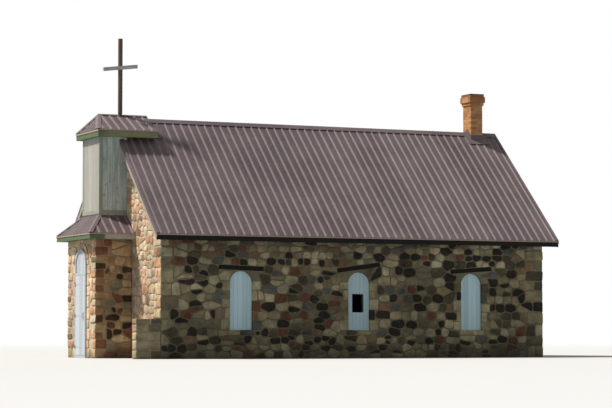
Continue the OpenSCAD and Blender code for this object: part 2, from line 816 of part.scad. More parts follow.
module door_ironwork()
    color(timber) {
        for (z = hinge_z) difference() {
            union() {
                translate([pin_x, pin_y, z - knuckle_h / 2 + knuckle_gap])
                    cylinder(h = knuckle_h - 2 * knuckle_gap, r = barrel_r, $fn = 32);
                translate([leaf_x - strap_t, -leaf_y + 120, z - knuckle_h / 2 + knuckle_gap])
                    cube([strap_t, leaf_y + pin_y - 120, knuckle_h - 2 * knuckle_gap]);
            }
            translate([pin_x, pin_y, z - knuckle_h]) cylinder(h = 2 * knuckle_h, r = pin_r + 0.4, $fn = 32);
        }
        translate([leaf_x - 6, -leaf_y + 60, 1000]) cube([6, 40, 200]);
        translate([leaf_x - 45, -leaf_y + 72, 1030]) cube([14, 16, 140]);
        for (z = [1030, 1154]) translate([leaf_x - 40, -leaf_y + 72, z]) cube([35, 16, 16]);
    }

nave_floor();
right_wall();
left_wall();
front_gable_right();
front_gable_left();
front_gable_head();
rear_gable();
porch_floor();
porch_right_wall();
porch_left_wall();
porch_front_right();
porch_front_left();
porch_front_head();
porch_ceiling();
wing_wall();
right_window_boards();
left_window_boards();
window_lintels();
wall_plates();
rafters();
ridge_board();
right_roof_boards();
left_roof_boards();
right_roof_sheet();
left_roof_sheet();
ridge_cap();
eave_fascias();
barge_boards();
chimney_shaft();
chimney_cap();
chimney_flashing();
skirt_boards();
skirt_roof_front();
skirt_roof_right();
skirt_roof_left();
skirt_hip_caps();
skirt_eave_box();
belfry_front();
belfry_right();
belfry_left();
belfry_trim();
belfry_eave_box();
belfry_roof_boards();
belfry_roof_sheets();
belfry_hip_caps();
cross_post();
cross_arm();
door_frame();
door_transom();
front_door();
door_ironwork();
door_hinges();
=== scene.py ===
"""The finish of a small fieldstone chapel, made round its packed frame."""
import math
from itertools import pairwise, product
import random

import bpy
import numpy as np
from bpy.props import FloatProperty, FloatVectorProperty, IntProperty, PointerProperty
from mathutils import Matrix, Vector


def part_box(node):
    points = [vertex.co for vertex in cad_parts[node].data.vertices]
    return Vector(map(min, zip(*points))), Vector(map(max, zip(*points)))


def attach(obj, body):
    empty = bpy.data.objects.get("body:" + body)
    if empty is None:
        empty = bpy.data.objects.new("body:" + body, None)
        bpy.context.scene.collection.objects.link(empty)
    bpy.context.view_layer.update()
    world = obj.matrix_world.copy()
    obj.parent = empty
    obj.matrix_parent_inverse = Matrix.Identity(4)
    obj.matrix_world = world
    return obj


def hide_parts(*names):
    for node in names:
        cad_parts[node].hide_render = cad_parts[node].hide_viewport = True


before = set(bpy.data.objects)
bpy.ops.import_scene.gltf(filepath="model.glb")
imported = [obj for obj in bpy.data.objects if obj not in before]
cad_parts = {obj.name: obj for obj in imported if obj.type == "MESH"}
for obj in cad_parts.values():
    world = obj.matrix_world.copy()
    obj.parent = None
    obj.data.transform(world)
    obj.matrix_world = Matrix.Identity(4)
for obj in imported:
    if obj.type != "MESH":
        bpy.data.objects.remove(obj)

bl_info = {
    "name": "Fieldstone chapel",
    "version": (1, 0, 0),
    "blender": (4, 5, 0),
    "location": "3D View > Sidebar > Chapel",
    "description": "Stonework, roofs, boards and finishes of a small fieldstone chapel",
    "category": "Add Mesh",
}

CHAPEL = "chapel"
DOOR = "door"
UP = Vector((0, 0, 1))


# Settings

def length(name, description, default, high=50.0):
    return FloatProperty(name=name, description=description, default=default, min=0.0, max=high,
                         unit="LENGTH", precision=4)


def number(name, description, default, low=0.0, high=1000.0):
    return FloatProperty(name=name, description=description, default=default, min=low, max=high)


def colour(name, description, default):
    return FloatVectorProperty(name=name, description=description, default=default, size=3,
                               subtype="COLOR", min=0.0, max=1.0)


def whole(name, description, default):
    return IntProperty(name=name, description=description, default=default, min=0)


def point(name, description, default):
    return FloatVectorProperty(name=name, description=description, default=default,
                               subtype="TRANSLATION", unit="LENGTH")


class StoneSettings(bpy.types.PropertyGroup):
    """Fieldstones, corner blocks and floor slabs"""
    course_low: length("Lowest course", "Height of the smallest fieldstones", 0.12)
    course_high: length("Highest course", "Height of the largest fieldstones", 0.33)
    length_low: length("Shortest stone", "Length of the smallest fieldstones", 0.13)
    length_high: length("Longest stone", "Length of the largest fieldstones", 0.55)
    joint_low: length("Narrow joint", "Width of the narrowest mortar joints", 0.004)
    joint_high: length("Wide joint", "Width of the widest mortar joints", 0.022)
    proud_low: length("Least projection", "How far the flattest stones stand out", 0.012)
    proud_high: length("Most projection", "How far the boldest stones stand out", 0.034)
    bed: length("Bed", "How far a stone reaches back into the mortar", 0.012)
    swell: number("Swell", "Makes up for the outline that rounding takes off a stone", 1.11, 1.0, 1.2)
    rounding: number("Rounding", "How much the face of a stone draws in", 0.13, 0.0, 1.0)
    unevenness: length("Unevenness", "Height of the bumps on a stone", 0.011)
    quoin_long: length("Long corner block", "Long side of a corner block", 0.44)
    quoin_short: length("Short corner block", "Short side of a corner block", 0.25)
    quoin_height: length("Corner block height", "Mean height of a corner block", 0.29)
    quoin_proud: length("Corner projection", "How far corner blocks stand out", 0.02)
    arch_ring: length("Arch ring", "Height of the stones round the entrance arch", 0.16)
    slab: length("Floor slab", "Mean size of a floor slab", 0.55)
    slab_proud: length("Slab projection", "How far floor slabs stand above their joints", 0.005)
    mortar: colour("Mortar", "Colour of the weathered mortar", (0.215, 0.186, 0.116))
    porch_mortar: colour("Porch mortar", "Colour of the mortar on the porch sides", (0.400, 0.290, 0.170))
    # Paler mortar for the faces that look to the front: partly paler mortar, partly painted sunlight.
    front_mortar_with_painted_sun: colour("Front mortar", "Colour of the mortar on the front faces", (0.600, 0.490, 0.350))
    limewash: colour("Limewash", "Colour of the inside of the walls", (0.66, 0.63, 0.56))
    seed: whole("Seed", "Seed of the stone layout", 14)


class RoofSettings(bpy.types.PropertyGroup):
    """Ribbed metal sheets, caps and trims"""
    rib_pitch: length("Rib pitch", "Distance between the ribs of a sheet", 0.2286)
    sheet_ribs: whole("Ribs a sheet", "Number of ribs on one sheet", 4)
    screw_rows: whole("Screw rows", "Rows of screws up each slope", 7)
    screw_radius: length("Screw radius", "Radius of a screw's washer", 0.011)
    trim_leg: length("Trim leg", "Depth of the folded trim on the gable edges", 0.085)
    trim_flange: length("Trim flange", "Width of that trim on top of the sheets", 0.07)
    trim_thickness: length("Trim thickness", "Thickness of the folded trims", 0.002)
    metal: colour("Sheet", "Colour of the painted sheets", (0.050, 0.035, 0.037))
    # metal_light is also the colour of the painted highlight on the ribs.
    metal_light: colour("Worn sheet", "Colour of the sheets where paint has chalked", (0.360, 0.285, 0.300))
    rust: colour("Rust", "Colour of rust at cut edges and screws", (0.19, 0.075, 0.035))


class TimberSettings(bpy.types.PropertyGroup):
    """Boards, doors and beams"""
    board_width: length("Belfry board", "Width of a belfry board", 0.13)
    door_board: length("Door board", "Width of a door board", 0.138)
    groove: length("Groove", "Gap between two boards", 0.005)
    board_proud: length("Board thickness", "How far facing boards stand out", 0.012)
    bead: length("Bead", "Width of the bead round a boarded window", 0.034)
    hewn: length("Hewn surface", "Height of the hollows on hewn beams", 0.007)
    white: colour("White paint", "Colour of the door", (0.560, 0.610, 0.650))
    pale_blue: colour("Pale paint", "Colour of the window boards", (0.560, 0.750, 0.815))
    cream: colour("Cream paint", "Colour of the belfry front", (0.460, 0.450, 0.400))
    green: colour("Green paint", "Colour of the fascias", (0.095, 0.155, 0.072))
    grey_green: colour("Grey green paint", "Colour of the belfry sides", (0.640, 0.730, 0.690))
    bare: colour("Bare wood", "Colour of weathered bare wood", (0.25, 0.205, 0.15))
    trim: colour("Trim paint", "Colour of the belfry trim", (0.385, 0.415, 0.340))
    worn_green: colour("Worn green", "Colour of the sunburnt side fascias", (0.230, 0.250, 0.130))
    # Near-black colour given to the eave boards.
    dark: colour("Dark stain", "Colour of the eave boards", (0.014, 0.013, 0.012))


class BrickSettings(bpy.types.PropertyGroup):
    """Chimney brickwork"""
    brick_length: length("Brick length", "Length of a brick", 0.215)
    brick_width: length("Brick width", "Width of a brick", 0.1025)
    course: length("Course", "Height of a brick with its joint", 0.075)
    joint: length("Joint", "Width of the joints", 0.010)
    proud: length("Projection", "How far bricks stand out of the mortar", 0.004)
    brick: colour("Brick", "Colour of the bricks", (0.56, 0.27, 0.105))


class StageSettings(bpy.types.PropertyGroup):
    """Camera, light and floor"""
    eye: point("Eye", "Place of the camera", (-25.38, -55.33, 0.65))
    aim: point("Aim", "Point that the camera looks at", (-0.80, -1.6, 4.10))
    lens: number("Lens", "Focal length in millimetres", 130.0, 20.0)
    sun_towards: FloatVectorProperty(
        name="Light direction", description="Direction in which the main light shines",
        default=(0.50, -0.29, -0.81), subtype="DIRECTION")
    sun_strength: number("Main light", "Strength of the main light", 5.0)
    sun_angle: FloatProperty(name="Softness", description="Angle that the main light fills",
                             default=math.radians(4.5), subtype="ANGLE")
    sky_strength: number("Sky light", "Strength of the even light", 0.30)
    floor_radius: length("Floor radius", "Radius of the floor", 900.0, 2000.0)
    floor: colour("Floor", "Colour of the floor", (0.58, 0.58, 0.575))
    floor_bounce: colour("Floor bounce", "Colour that the floor gives to the light it throws back",
                         (0.345, 0.355, 0.365))


SETTINGS = {"chapel_stone": StoneSettings, "chapel_roof": RoofSettings, "chapel_timber": TimberSettings,
            "chapel_brick": BrickSettings, "chapel_stage": StageSettings}


# Node helpers

class Signal:
    """One output of a node. Sums and products of signals add the nodes that work them out."""

    def __init__(self, socket):
        self.socket = socket
        self.tree = socket.id_data

    def __getitem__(self, key):
        """Another output of the same node."""
        return Signal(self.socket.node.outputs[key])

    def maths(self, operation, *others, clamp=False):
        return made(self.tree, "ShaderNodeMath", dict(enumerate((self, *others))),
                    operation=operation, use_clamp=clamp)

    def __add__(self, other):
        return self.maths("ADD", other)

    def __sub__(self, other):
        return self.maths("SUBTRACT", other)

    def __mul__(self, other):
        return self.maths("MULTIPLY", other)

    def __truediv__(self, other):
        return self.maths("DIVIDE", other)

    def rest(self):
        """What is left of one."""
        return made(self.tree, "ShaderNodeMath", {0: 1.0, 1: self}, operation="SUBTRACT")


def put(socket, value):
    """Fills an input with a signal or a plain value."""
    if isinstance(value, Signal):
        socket.id_data.links.new(value.socket, socket)
    elif socket.type == "RGBA":
        socket.default_value = rgba(value)
    else:
        socket.default_value = value


def rgba(tint):
    return (*tuple(tint)[:3], 1.0)


def made(tree, kind, inputs=None, output=0, **fields):
    """Adds a node, sets its fields, fills its inputs, and returns one of its outputs."""
    new = tree.nodes.new(kind)
    for key, value in fields.items():
        setattr(new, key, value)
    for key, value in (inputs or {}).items():
        put(new.inputs[key], value)
    return Signal(new.outputs[output]) if new.outputs else new


def tree_of(*values):
    return next(value.tree for value in values if isinstance(value, Signal))


def mixed(factor, a, b, blend="MIX"):
    """Mixes two colours."""
    return made(tree_of(factor, a, b), "ShaderNodeMix", {0: factor, 6: a, 7: b}, 2,
                data_type="RGBA", blend_type=blend)


def shaded(tint, value):
    """A colour made lighter or darker by a value."""
    level = made(value.tree, "ShaderNodeCombineColor", {0: value, 1: value, 2: value})
    return mixed(1.0, tint, level, "MULTIPLY")


def times(tint, factor):
    return [min(1.0, c * factor) for c in tint]


def spread(value, low, high, to_low=0.0, to_high=1.0):
    """Smoothly maps low..high to another range."""
    return made(value.tree, "ShaderNodeMapRange", {0: value, 1: low, 2: high, 3: to_low, 4: to_high},
                interpolation_type="SMOOTHSTEP")


def noise(place, scale, detail=3.0, roughness=0.55, distortion=0.0):
    return made(place.tree, "ShaderNodeTexNoise", {"Vector": place, "Scale": scale, "Detail": detail,
                "Roughness": roughness, "Distortion": distortion})


def stretched(place, scale):
    return made(place.tree, "ShaderNodeVectorMath", {0: place, 1: scale}, operation="MULTIPLY")


def separate(vector):
    return made(vector.tree, "ShaderNodeSeparateXYZ", {0: vector})


def combine(x=0.0, y=0.0, z=0.0):
    return made(tree_of(x, y, z), "ShaderNodeCombineXYZ", {0: x, 1: y, 2: z})


def ramp(value, stops, interpolation="CONSTANT"):
    result = made(value.tree, "ShaderNodeValToRGB", {0: value})
    band = result.socket.node.color_ramp
    band.interpolation = interpolation
    while len(band.elements) < len(stops):
        band.elements.new(0.5)
    for element, (place, tint) in zip(band.elements, stops):
        element.position = place
        element.color = rgba(tint)
    return result


def open_group(name, kind, inputs, outputs):
    """Starts a node group; returns its inputs as a signal, and its output node."""
    group = bpy.data.node_groups.new(name, kind)
    for socket_name, (socket_kind, default) in inputs.items():
        socket = group.interface.new_socket(socket_name, in_out="INPUT",
                                            socket_type="NodeSocket" + socket_kind)
        if default is not None:
            socket.default_value = default
    for socket_name, socket_kind in outputs.items():
        group.interface.new_socket(socket_name, in_out="OUTPUT", socket_type="NodeSocket" + socket_kind)
    return Signal(group.nodes.new("NodeGroupInput").outputs[0]), group.nodes.new("NodeGroupOutput")


def close_group(result, outputs):
    for key, value in outputs.items():
        put(result.inputs[key], value)
    return result.id_data


def use_group(name, inputs):
    group = bpy.data.node_groups.get(name) or GROUPS[name]()
    return made(inputs["Vector"].tree, "ShaderNodeGroup", inputs, node_tree=group)


# Shared effects

UPRIGHT = (1.0, 1.0, 0.06)
LENGTHWISE = (0.06, 1.0, 1.0)


def wood_grain_group():
    """Grain that runs along the axis on which Stretch is small."""
    given, result = open_group("wood_grain", "ShaderNodeTree", {
        "Vector": ("Vector", None), "Stretch": ("Vector", UPRIGHT), "Scale": ("Float", 60.0)},
        {"Grain": "Float"})
    along = stretched(given["Vector"], given["Stretch"])
    fine = noise(along, given["Scale"], 6.0, 0.65)
    wavy = noise(along, given["Scale"] * 0.22, 3.0, 0.5, 1.2)
    return close_group(result, {"Grain": spread(fine * 0.6 + wavy * 0.4, 0.32, 0.68)})


def weather_group():
    """Patches of uneven age, vertical streaks, and damp that rises from the ground."""
    given, result = open_group("weather", "ShaderNodeTree", {
        "Vector": ("Vector", None), "Damp height": ("Float", 0.5), "Streak scale": ("Float", 9.0)},
        {"Patches": "Float", "Streaks": "Float", "Damp": "Float"})
    place = given["Vector"]
    streaks = noise(stretched(place, (1.0, 1.0, 0.09)), given["Streak scale"], 4.0, 0.6)
    level = separate(place)["Z"] + noise(place, 2.5) * -0.7 + 0.35
    return close_group(result, {
        "Patches": spread(noise(place, 0.9, 4.0, 0.6), 0.3, 0.7),
        "Streaks": spread(streaks, 0.38, 0.72),
        "Damp": spread(level, 0.0, given["Damp height"], 1.0, 0.0)})


def speckle_group():
    """Mineral grains of split stone."""
    given, result = open_group("speckle", "ShaderNodeTree", {
        "Vector": ("Vector", None), "Scale": ("Float", 90.0)}, {"Grains": "Float", "Relief": "Float"})
    cells = made(given.tree, "ShaderNodeTexVoronoi", {"Vector": given["Vector"], "Scale": given["Scale"]},
                 "Color")
    return close_group(result, {"Grains": made(given.tree, "ShaderNodeSeparateColor", {0: cells}),
                                "Relief": noise(given["Vector"], 16.0, 6.0, 0.6)})


GROUPS = {"wood_grain": wood_grain_group, "weather": weather_group, "speckle": speckle_group}


def weather_on(place, damp_height=0.0, streak_scale=9.0):
    return use_group("weather", {"Vector": place, "Damp height": damp_height,
                                 "Streak scale": streak_scale})


def grain_on(place, stretch, scale=70.0):
    return use_group("wood_grain", {"Vector": place, "Stretch": stretch, "Scale": scale})


# Materials

def start_material(name):
    """An empty material; returns the object's own coordinates in it."""
    material = bpy.data.materials.new(name)
    material.use_nodes = True
    material.node_tree.nodes.clear()
    return made(material.node_tree, "ShaderNodeTexCoord", output="Object")


def surface_of(tint, roughness, relief=None, distance=0.0, metallic=0.0):
    """The shader of a material, with a bump of the given height where it has a relief."""
    tree = tint.tree
    shader = made(tree, "ShaderNodeBsdfPrincipled", {
        "Base Color": tint, "Roughness": roughness, "Metallic": metallic, "Specular IOR Level": 0.18})
    if relief:
        put(shader.socket.node.inputs["Normal"], made(tree, "ShaderNodeBump", {
            "Height": relief, "Distance": distance, "Strength": 1.0}))
    return shader


def show(shader):
    made(shader.tree, "ShaderNodeOutputMaterial", {"Surface": shader}, is_active_output=True)


def attribute(place, name):
    return made(place.tree, "ShaderNodeAttribute", output="Fac", attribute_name=name)


SIDE_STONES = [
    (0.00, (0.250, 0.215, 0.130)), (0.12, (0.340, 0.300, 0.195)), (0.24, (0.022, 0.019, 0.014)),
    (0.34, (0.150, 0.130, 0.080)), (0.43, (0.060, 0.052, 0.034)), (0.50, (0.016, 0.015, 0.013)),
    (0.57, (0.280, 0.245, 0.155)), (0.66, (0.130, 0.060, 0.038)), (0.72, (0.190, 0.165, 0.108)),
    (0.78, (0.085, 0.072, 0.046)), (0.84, (0.380, 0.335, 0.225)), (0.90, (0.200, 0.125, 0.075)),
    (0.95, (0.095, 0.098, 0.088))]
PORCH_STONES = [
    (0.00, (0.430, 0.270, 0.140)), (0.14, (0.540, 0.370, 0.205)), (0.26, (0.050, 0.030, 0.019)),
    (0.36, (0.230, 0.108, 0.066)), (0.48, (0.340, 0.200, 0.118)), (0.60, (0.600, 0.450, 0.270)),
    (0.72, (0.100, 0.056, 0.032)), (0.80, (0.420, 0.300, 0.165)), (0.90, (0.280, 0.240, 0.165)),
    (0.96, (0.190, 0.080, 0.048))]
# Paler, warmer stones for the faces that look to the front: partly paler stone, partly painted sunlight.
FRONT_STONES_WITH_PAINTED_SUN = [
    (0.00, (0.560, 0.420, 0.270)), (0.16, (0.640, 0.520, 0.370)), (0.32, (0.520, 0.300, 0.185)),
    (0.42, (0.420, 0.330, 0.220)), (0.54, (0.600, 0.370, 0.270)), (0.66, (0.620, 0.520, 0.400)),
    (0.80, (0.240, 0.175, 0.120)), (0.86, (0.480, 0.390, 0.280))]
FLAGSTONES = [(0.0, (0.24, 0.225, 0.195)), (0.35, (0.30, 0.285, 0.25)), (0.7, (0.19, 0.185, 0.175))]
QUIET_TONES = (0.01, 0.15, 0.57, 0.40, 0.85, 0.14, 0.02)
DARK_TONES = (0.25, 0.34, 0.47, 0.55, 0.76)
LICHEN = (0.34, 0.33, 0.24)
DAMP_STONE = (0.065, 0.062, 0.040)
DAMP_MORTAR = (0.075, 0.070, 0.045)
TRODDEN_STONE = (0.36, 0.345, 0.31)
SOOT = (0.05, 0.04, 0.035)
BRICK_STREAKS = (0.14, 0.09, 0.06)
FASCIA_STREAKS = (0.16, 0.15, 0.11)
OLD_RUST = (0.115, 0.052, 0.028)


def painted_sun_front_mask(place):
    """One on the outside faces that look to the front, none elsewhere: the faces that get painted sunlight.
    """
    normal = separate(made(place.tree, "ShaderNodeTexCoord", output="Normal"))
    ahead = separate(place)["X"].maths("LESS_THAN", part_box("right_wall")[0].x + 0.06)
    return spread(normal["X"] * -1.0, 0.5, 0.9) * ahead


def stone_material(name, stops, mortar, front_stops_with_painted_sun=None, front_mortar_with_painted_sun=None):
    """Fieldstone: one colour a stone from its tone, speckled, smeared with mortar at its rim; faces that
    look to the front take a paler palette, partly paler stone and partly painted sunlight.
    """
    place = start_material(name)
    tone = attribute(place, "tone")
    base = ramp(tone, stops)
    # Painted sunlight: faces that look to the front switch to the paler palette and mortar, so a block is
    # lighter on its front than on its side.
    if front_stops_with_painted_sun:
        front = painted_sun_front_mask(place)
        base = mixed(front, base, ramp(tone, front_stops_with_painted_sun))
        mortar = mixed(front, mortar, front_mortar_with_painted_sun)
    speckle = use_group("speckle", {"Vector": place, "Scale": 85.0})
    weather = weather_on(place, 0.45)
    shift = ramp(noise(place, 5.0, 4.0, 0.6), [(0.25, (0.55, 0.53, 0.50)), (0.75, (1.36, 1.32, 1.24))],
                 "LINEAR")
    base = mixed(1.0, base, shift, "MULTIPLY")
    broad = spread(noise(place, 0.9), 0.35, 0.65, 0.72, 1.28)
    base = shaded(base, spread(speckle["Grains"], 0.0, 1.0, 0.78, 1.22) * broad)
    lichen = spread(noise(place, 7.0, 6.0, 0.7), 0.62, 0.72)
    base = mixed(lichen * 0.35, base, LICHEN)
    hidden = (tone * 37.0).maths("FRACT") * 0.42
    rim = attribute(place, "rim") + (hidden - 0.10)
    ragged = rim + (noise(place, 22.0, 4.0, 0.65) - 0.5) * 1.1
    base = mixed(spread(ragged, 0.52, 0.90, 0.0, 0.85), base, mortar)
    base = mixed(weather["Damp"] * 0.45, base, DAMP_STONE)
    relief = speckle["Relief"] * 0.7 + noise(place, 70.0) * 0.3
    show(surface_of(base, spread(speckle["Relief"], 0.3, 0.7, 0.72, 0.95), relief, 0.012))


def mortar_material(name, stone, inside):
    """Sandy mortar outside, paler on the faces that look to the front as painted sunlight, limewash on what
    lies inside the walls.
    """
    place = start_material(name)
    axes = separate(place)
    weather = weather_on(place, 0.5)
    sand = noise(place, 55.0, 5.0, 0.7)
    front = painted_sun_front_mask(place)
    shade = spread(weather["Patches"], 0.0, 1.0, 0.72, 1.16) * spread(sand, 0.35, 0.75, 1.0, 0.74)
    # Painted sunlight: mortar on the faces that look to the front takes the paler front mortar.
    outside = shaded(mixed(front, stone.mortar, stone.front_mortar_with_painted_sun), shade)
    outside = mixed(weather["Damp"] * 0.55, outside, DAMP_MORTAR)
    limewash = mixed(weather["Streaks"], stone.limewash, times(stone.limewash, 0.86))
    reach_x, reach_y, porch_end = inside
    porch_side = spread(axes["X"], porch_end, porch_end + 0.02, 1.0, 0.0) * front.rest()
    outside = mixed(porch_side, outside, shaded(stone.porch_mortar, shade))
    within = (axes["X"].maths("ABSOLUTE").maths("LESS_THAN", reach_x)
              * axes["Y"].maths("ABSOLUTE").maths("LESS_THAN", reach_y))
    relief = sand * 0.4 + noise(place, 9.0, 5.0, 0.6)
    show(surface_of(mixed(within, outside, limewash), 0.93, relief, 0.016))


def flagstone_material(name):
    place = start_material(name)
    stone = ramp(attribute(place, "tone"), FLAGSTONES)
    wear = spread(noise(place, 2.2, 4.0), 0.35, 0.7, 0.0, 0.5)
    roughness = spread(noise(place, 6.0, 4.0), 0.3, 0.7, 0.55, 0.85)
    relief = noise(place, 14.0, 6.0, 0.6)
    show(surface_of(mixed(wear, stone, TRODDEN_STONE), roughness, relief, 0.006))


RIB_FOOT = 0.046


def rib_phase(low, high, pitch):
    """Where the pattern of ribs starts: they stand evenly about the middle of the sheet."""
    count = int((high - low - 2 * RIB_FOOT) / pitch)
    return (low + high) / 2 + (0.0 if count % 2 else pitch / 2)


def hipped_front(axes, node_name):
    """One on the front slope of a hipped roof, none on its sides."""
    low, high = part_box(node_name)
    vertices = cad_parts[node_name].data.vertices
    hip = min(v.co.x for v in vertices if v.co.z > high.z - 0.005) - low.x
    from_side = made(axes.tree, "ShaderNodeMath", {0: high.y, 1: axes["Y"].maths("ABSOLUTE")},
                     operation="SUBTRACT")
    return ((axes["X"] - low.x) * high.y).maths("LESS_THAN", from_side * hip)


def metal_material(name, roof, node_names=(), ribs_along="X"):
    """Painted ribbed sheet: chalk and a painted highlight on the ribs, painted shade in the bands beside
    them, streaked down the slope, another tone a sheet.
    """
    rib_share = 1.0 if node_names else 0.0
    place = start_material(name)
    axes = separate(place)
    boxes = [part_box(node_name) for node_name in node_names] or [(Vector(), Vector())]
    over_x, over_y = (axes[i] - rib_phase(min(low[i] for low, _ in boxes),
                                          max(high[i] for _, high in boxes), roof.rib_pitch)
                      for i in (0, 1))
    across = over_y if ribs_along == "Y" else over_x
    if ribs_along == "both":
        across = made(place.tree, "ShaderNodeMix", {0: hipped_front(axes, node_names[0]),
                                                    2: over_x, 3: over_y})
    sheet = (across / (roof.rib_pitch * roof.sheet_ribs)).maths("FLOOR")
    tint = made(place.tree, "ShaderNodeTexWhiteNoise", {"W": sheet}, "Value", noise_dimensions="1D")
    weather = weather_on(place, 0.0, 16.0)
    chalk = tint * 0.10 + weather["Patches"] * 0.12 + weather["Streaks"] * 0.12 + (0.16 - 0.08 * rib_share)
    # Painted light: each rib is lightened as a painted highlight on top of some chalking, and the band
    # beside it is darkened as painted shadow, in place of the light and shade of the rib profile.
    wave = ((across / roof.rib_pitch).maths("FRACT") - 0.5).maths("ABSOLUTE")
    rib_chalk_and_painted_highlight = spread(wave, 0.15, 0.27, 0.40 * rib_share, 0.0)
    painted_shadow_beside_rib = spread(wave, 0.20, 0.34, 0.52 * rib_share, 0.0)
    grime_and_painted_rib_shadow = painted_shadow_beside_rib.maths("SUBTRACT", rib_chalk_and_painted_highlight, clamp=True) * spread(noise(place, 3.0), 0.3, 0.7, 0.4, 1.0)
    base = mixed(grime_and_painted_rib_shadow, mixed(chalk + rib_chalk_and_painted_highlight, roof.metal, roof.metal_light), times(roof.metal, 0.45))
    spots = spread(noise(place, 38.0, 5.0, 0.7), 0.69, 0.76, 0.0, 0.55)
    show(surface_of(mixed(spots, base, roof.rust), spread(weather["Streaks"], 0.0, 1.0, 0.55, 0.75),
                    noise(place, 5.0), 0.004))


def board_material(name, paint, bare, peel, dirt, stretch=UPRIGHT):
    """Painted board: grain under thin paint, flaked patches of bare wood, and a tone for each board."""
    place = start_material(name)
    grain = grain_on(place, stretch)
    painted = shaded(paint, spread(attribute(place, "tone"), 0.0, 1.0, 0.86, 1.08))
    painted = mixed(weather_on(place, 0.0, 14.0)["Streaks"] * dirt, painted, times(paint, 0.55))
    wood = mixed(grain, times(bare, 0.55), times(bare, 1.35))
    flakes = noise(stretched(place, [0.4 + 0.6 * s for s in stretch]), 24.0, 6.0, 0.72)
    flaked = spread(flakes + grain * -0.10, 0.66 - 0.22 * peel, 0.70 - 0.16 * peel, 0.0, 0.9)
    shown = mixed(flaked.maths("MAXIMUM", grain * (0.16 * peel)), painted, wood)
    show(surface_of(shown, spread(flaked, 0.0, 1.0, 0.62, 0.88), grain * 0.5 - flaked, 0.0022))


def wood_material(name, light, stretch=UPRIGHT, scale=55.0, checks=0.6):
    """Bare or stained timber with grain and drying checks."""
    place = start_material(name)
    grain = grain_on(place, stretch, scale)
    base = mixed(grain, times(light, 0.52), times(light, 1.22))
    base = mixed(weather_on(place, 0.0, 8.0)["Patches"] * 0.35, base, times(light, 0.6))
    cracks = noise(stretched(place, [s * s for s in stretch]), scale * 1.6, 2.0, 0.5)
    cracks = spread(cracks, 0.63, 0.70, 0.0, checks)
    show(surface_of(mixed(cracks, base, times(light, 0.2)), 0.86, grain * 0.6 - cracks, 0.004))


def brick_material(name, brick):
    place = start_material(name)
    red, green, blue = brick
    base = ramp(attribute(place, "tone"), [
        (0.0, times(brick, 0.78)), (0.2, brick), (0.55, (red * 1.1, green * 1.2, blue * 1.3)),
        (0.85, (red * 0.8, green * 0.66, blue * 0.7))])
    base = mixed(spread(noise(place, 30.0, 5.0, 0.65), 0.4, 0.8, 0.0, 0.5), base, times(brick, 0.6))
    top, clean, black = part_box("chimney_cap")[1].z, 0.13, 0.09
    height = separate(place)["Z"] + noise(place, 6.0) * 0.12
    base = mixed(spread(height, top - clean, top + black, 0.0, 0.75), base, SOOT)
    base = mixed(weather_on(place)["Streaks"] * 0.25, base, BRICK_STREAKS)
    show(surface_of(base, 0.9, noise(place, 60.0, 5.0, 0.7), 0.005))


def plain_mortar_material(name, tint):
    sand = noise(start_material(name), 60.0, 5.0, 0.7)
    show(surface_of(mixed(sand, times(tint, 0.6), times(tint, 1.2)), 0.94, sand, 0.006))


def iron_material(name, cover, metal, rusted):
    """Iron with a cover of paint or mill skin that rust has broken through."""
    place = start_material(name)
    rusty = spread(noise(place, 26.0, 6.0, 0.7), rusted, rusted + 0.12)
    metallic = spread(rusty, 0.0, 1.0, metal, 0.0) if metal else 0.0
    show(surface_of(mixed(rusty, cover, OLD_RUST), spread(rusty, 0.0, 1.0, 0.5, 0.85),
                    noise(place, 90.0, 4.0), 0.001, metallic))


def two_tone_material(name, front, side, bare, turn_x, blend_run):
    """Fascia paint that is of one colour at the front and worn to another further back."""
    place = start_material(name)
    grain = grain_on(place, (0.07, 0.07, 1.0))
    ragged = separate(place)["X"] + noise(place, 6.0) * blend_run
    paint = mixed(spread(ragged, turn_x, turn_x + blend_run), front, side)
    paint = mixed(weather_on(place, 0.0, 14.0)["Streaks"] * 0.4, paint, FASCIA_STREAKS)
    flaked = spread(noise(stretched(place, (0.4, 0.4, 1.0)), 26.0, 6.0, 0.72), 0.58, 0.64, 0.0, 0.85)
    wood = mixed(grain, times(bare, 0.55), times(bare, 1.3))
    show(surface_of(mixed(flaked, paint, wood), 0.72, grain * 0.5 - flaked, 0.002))


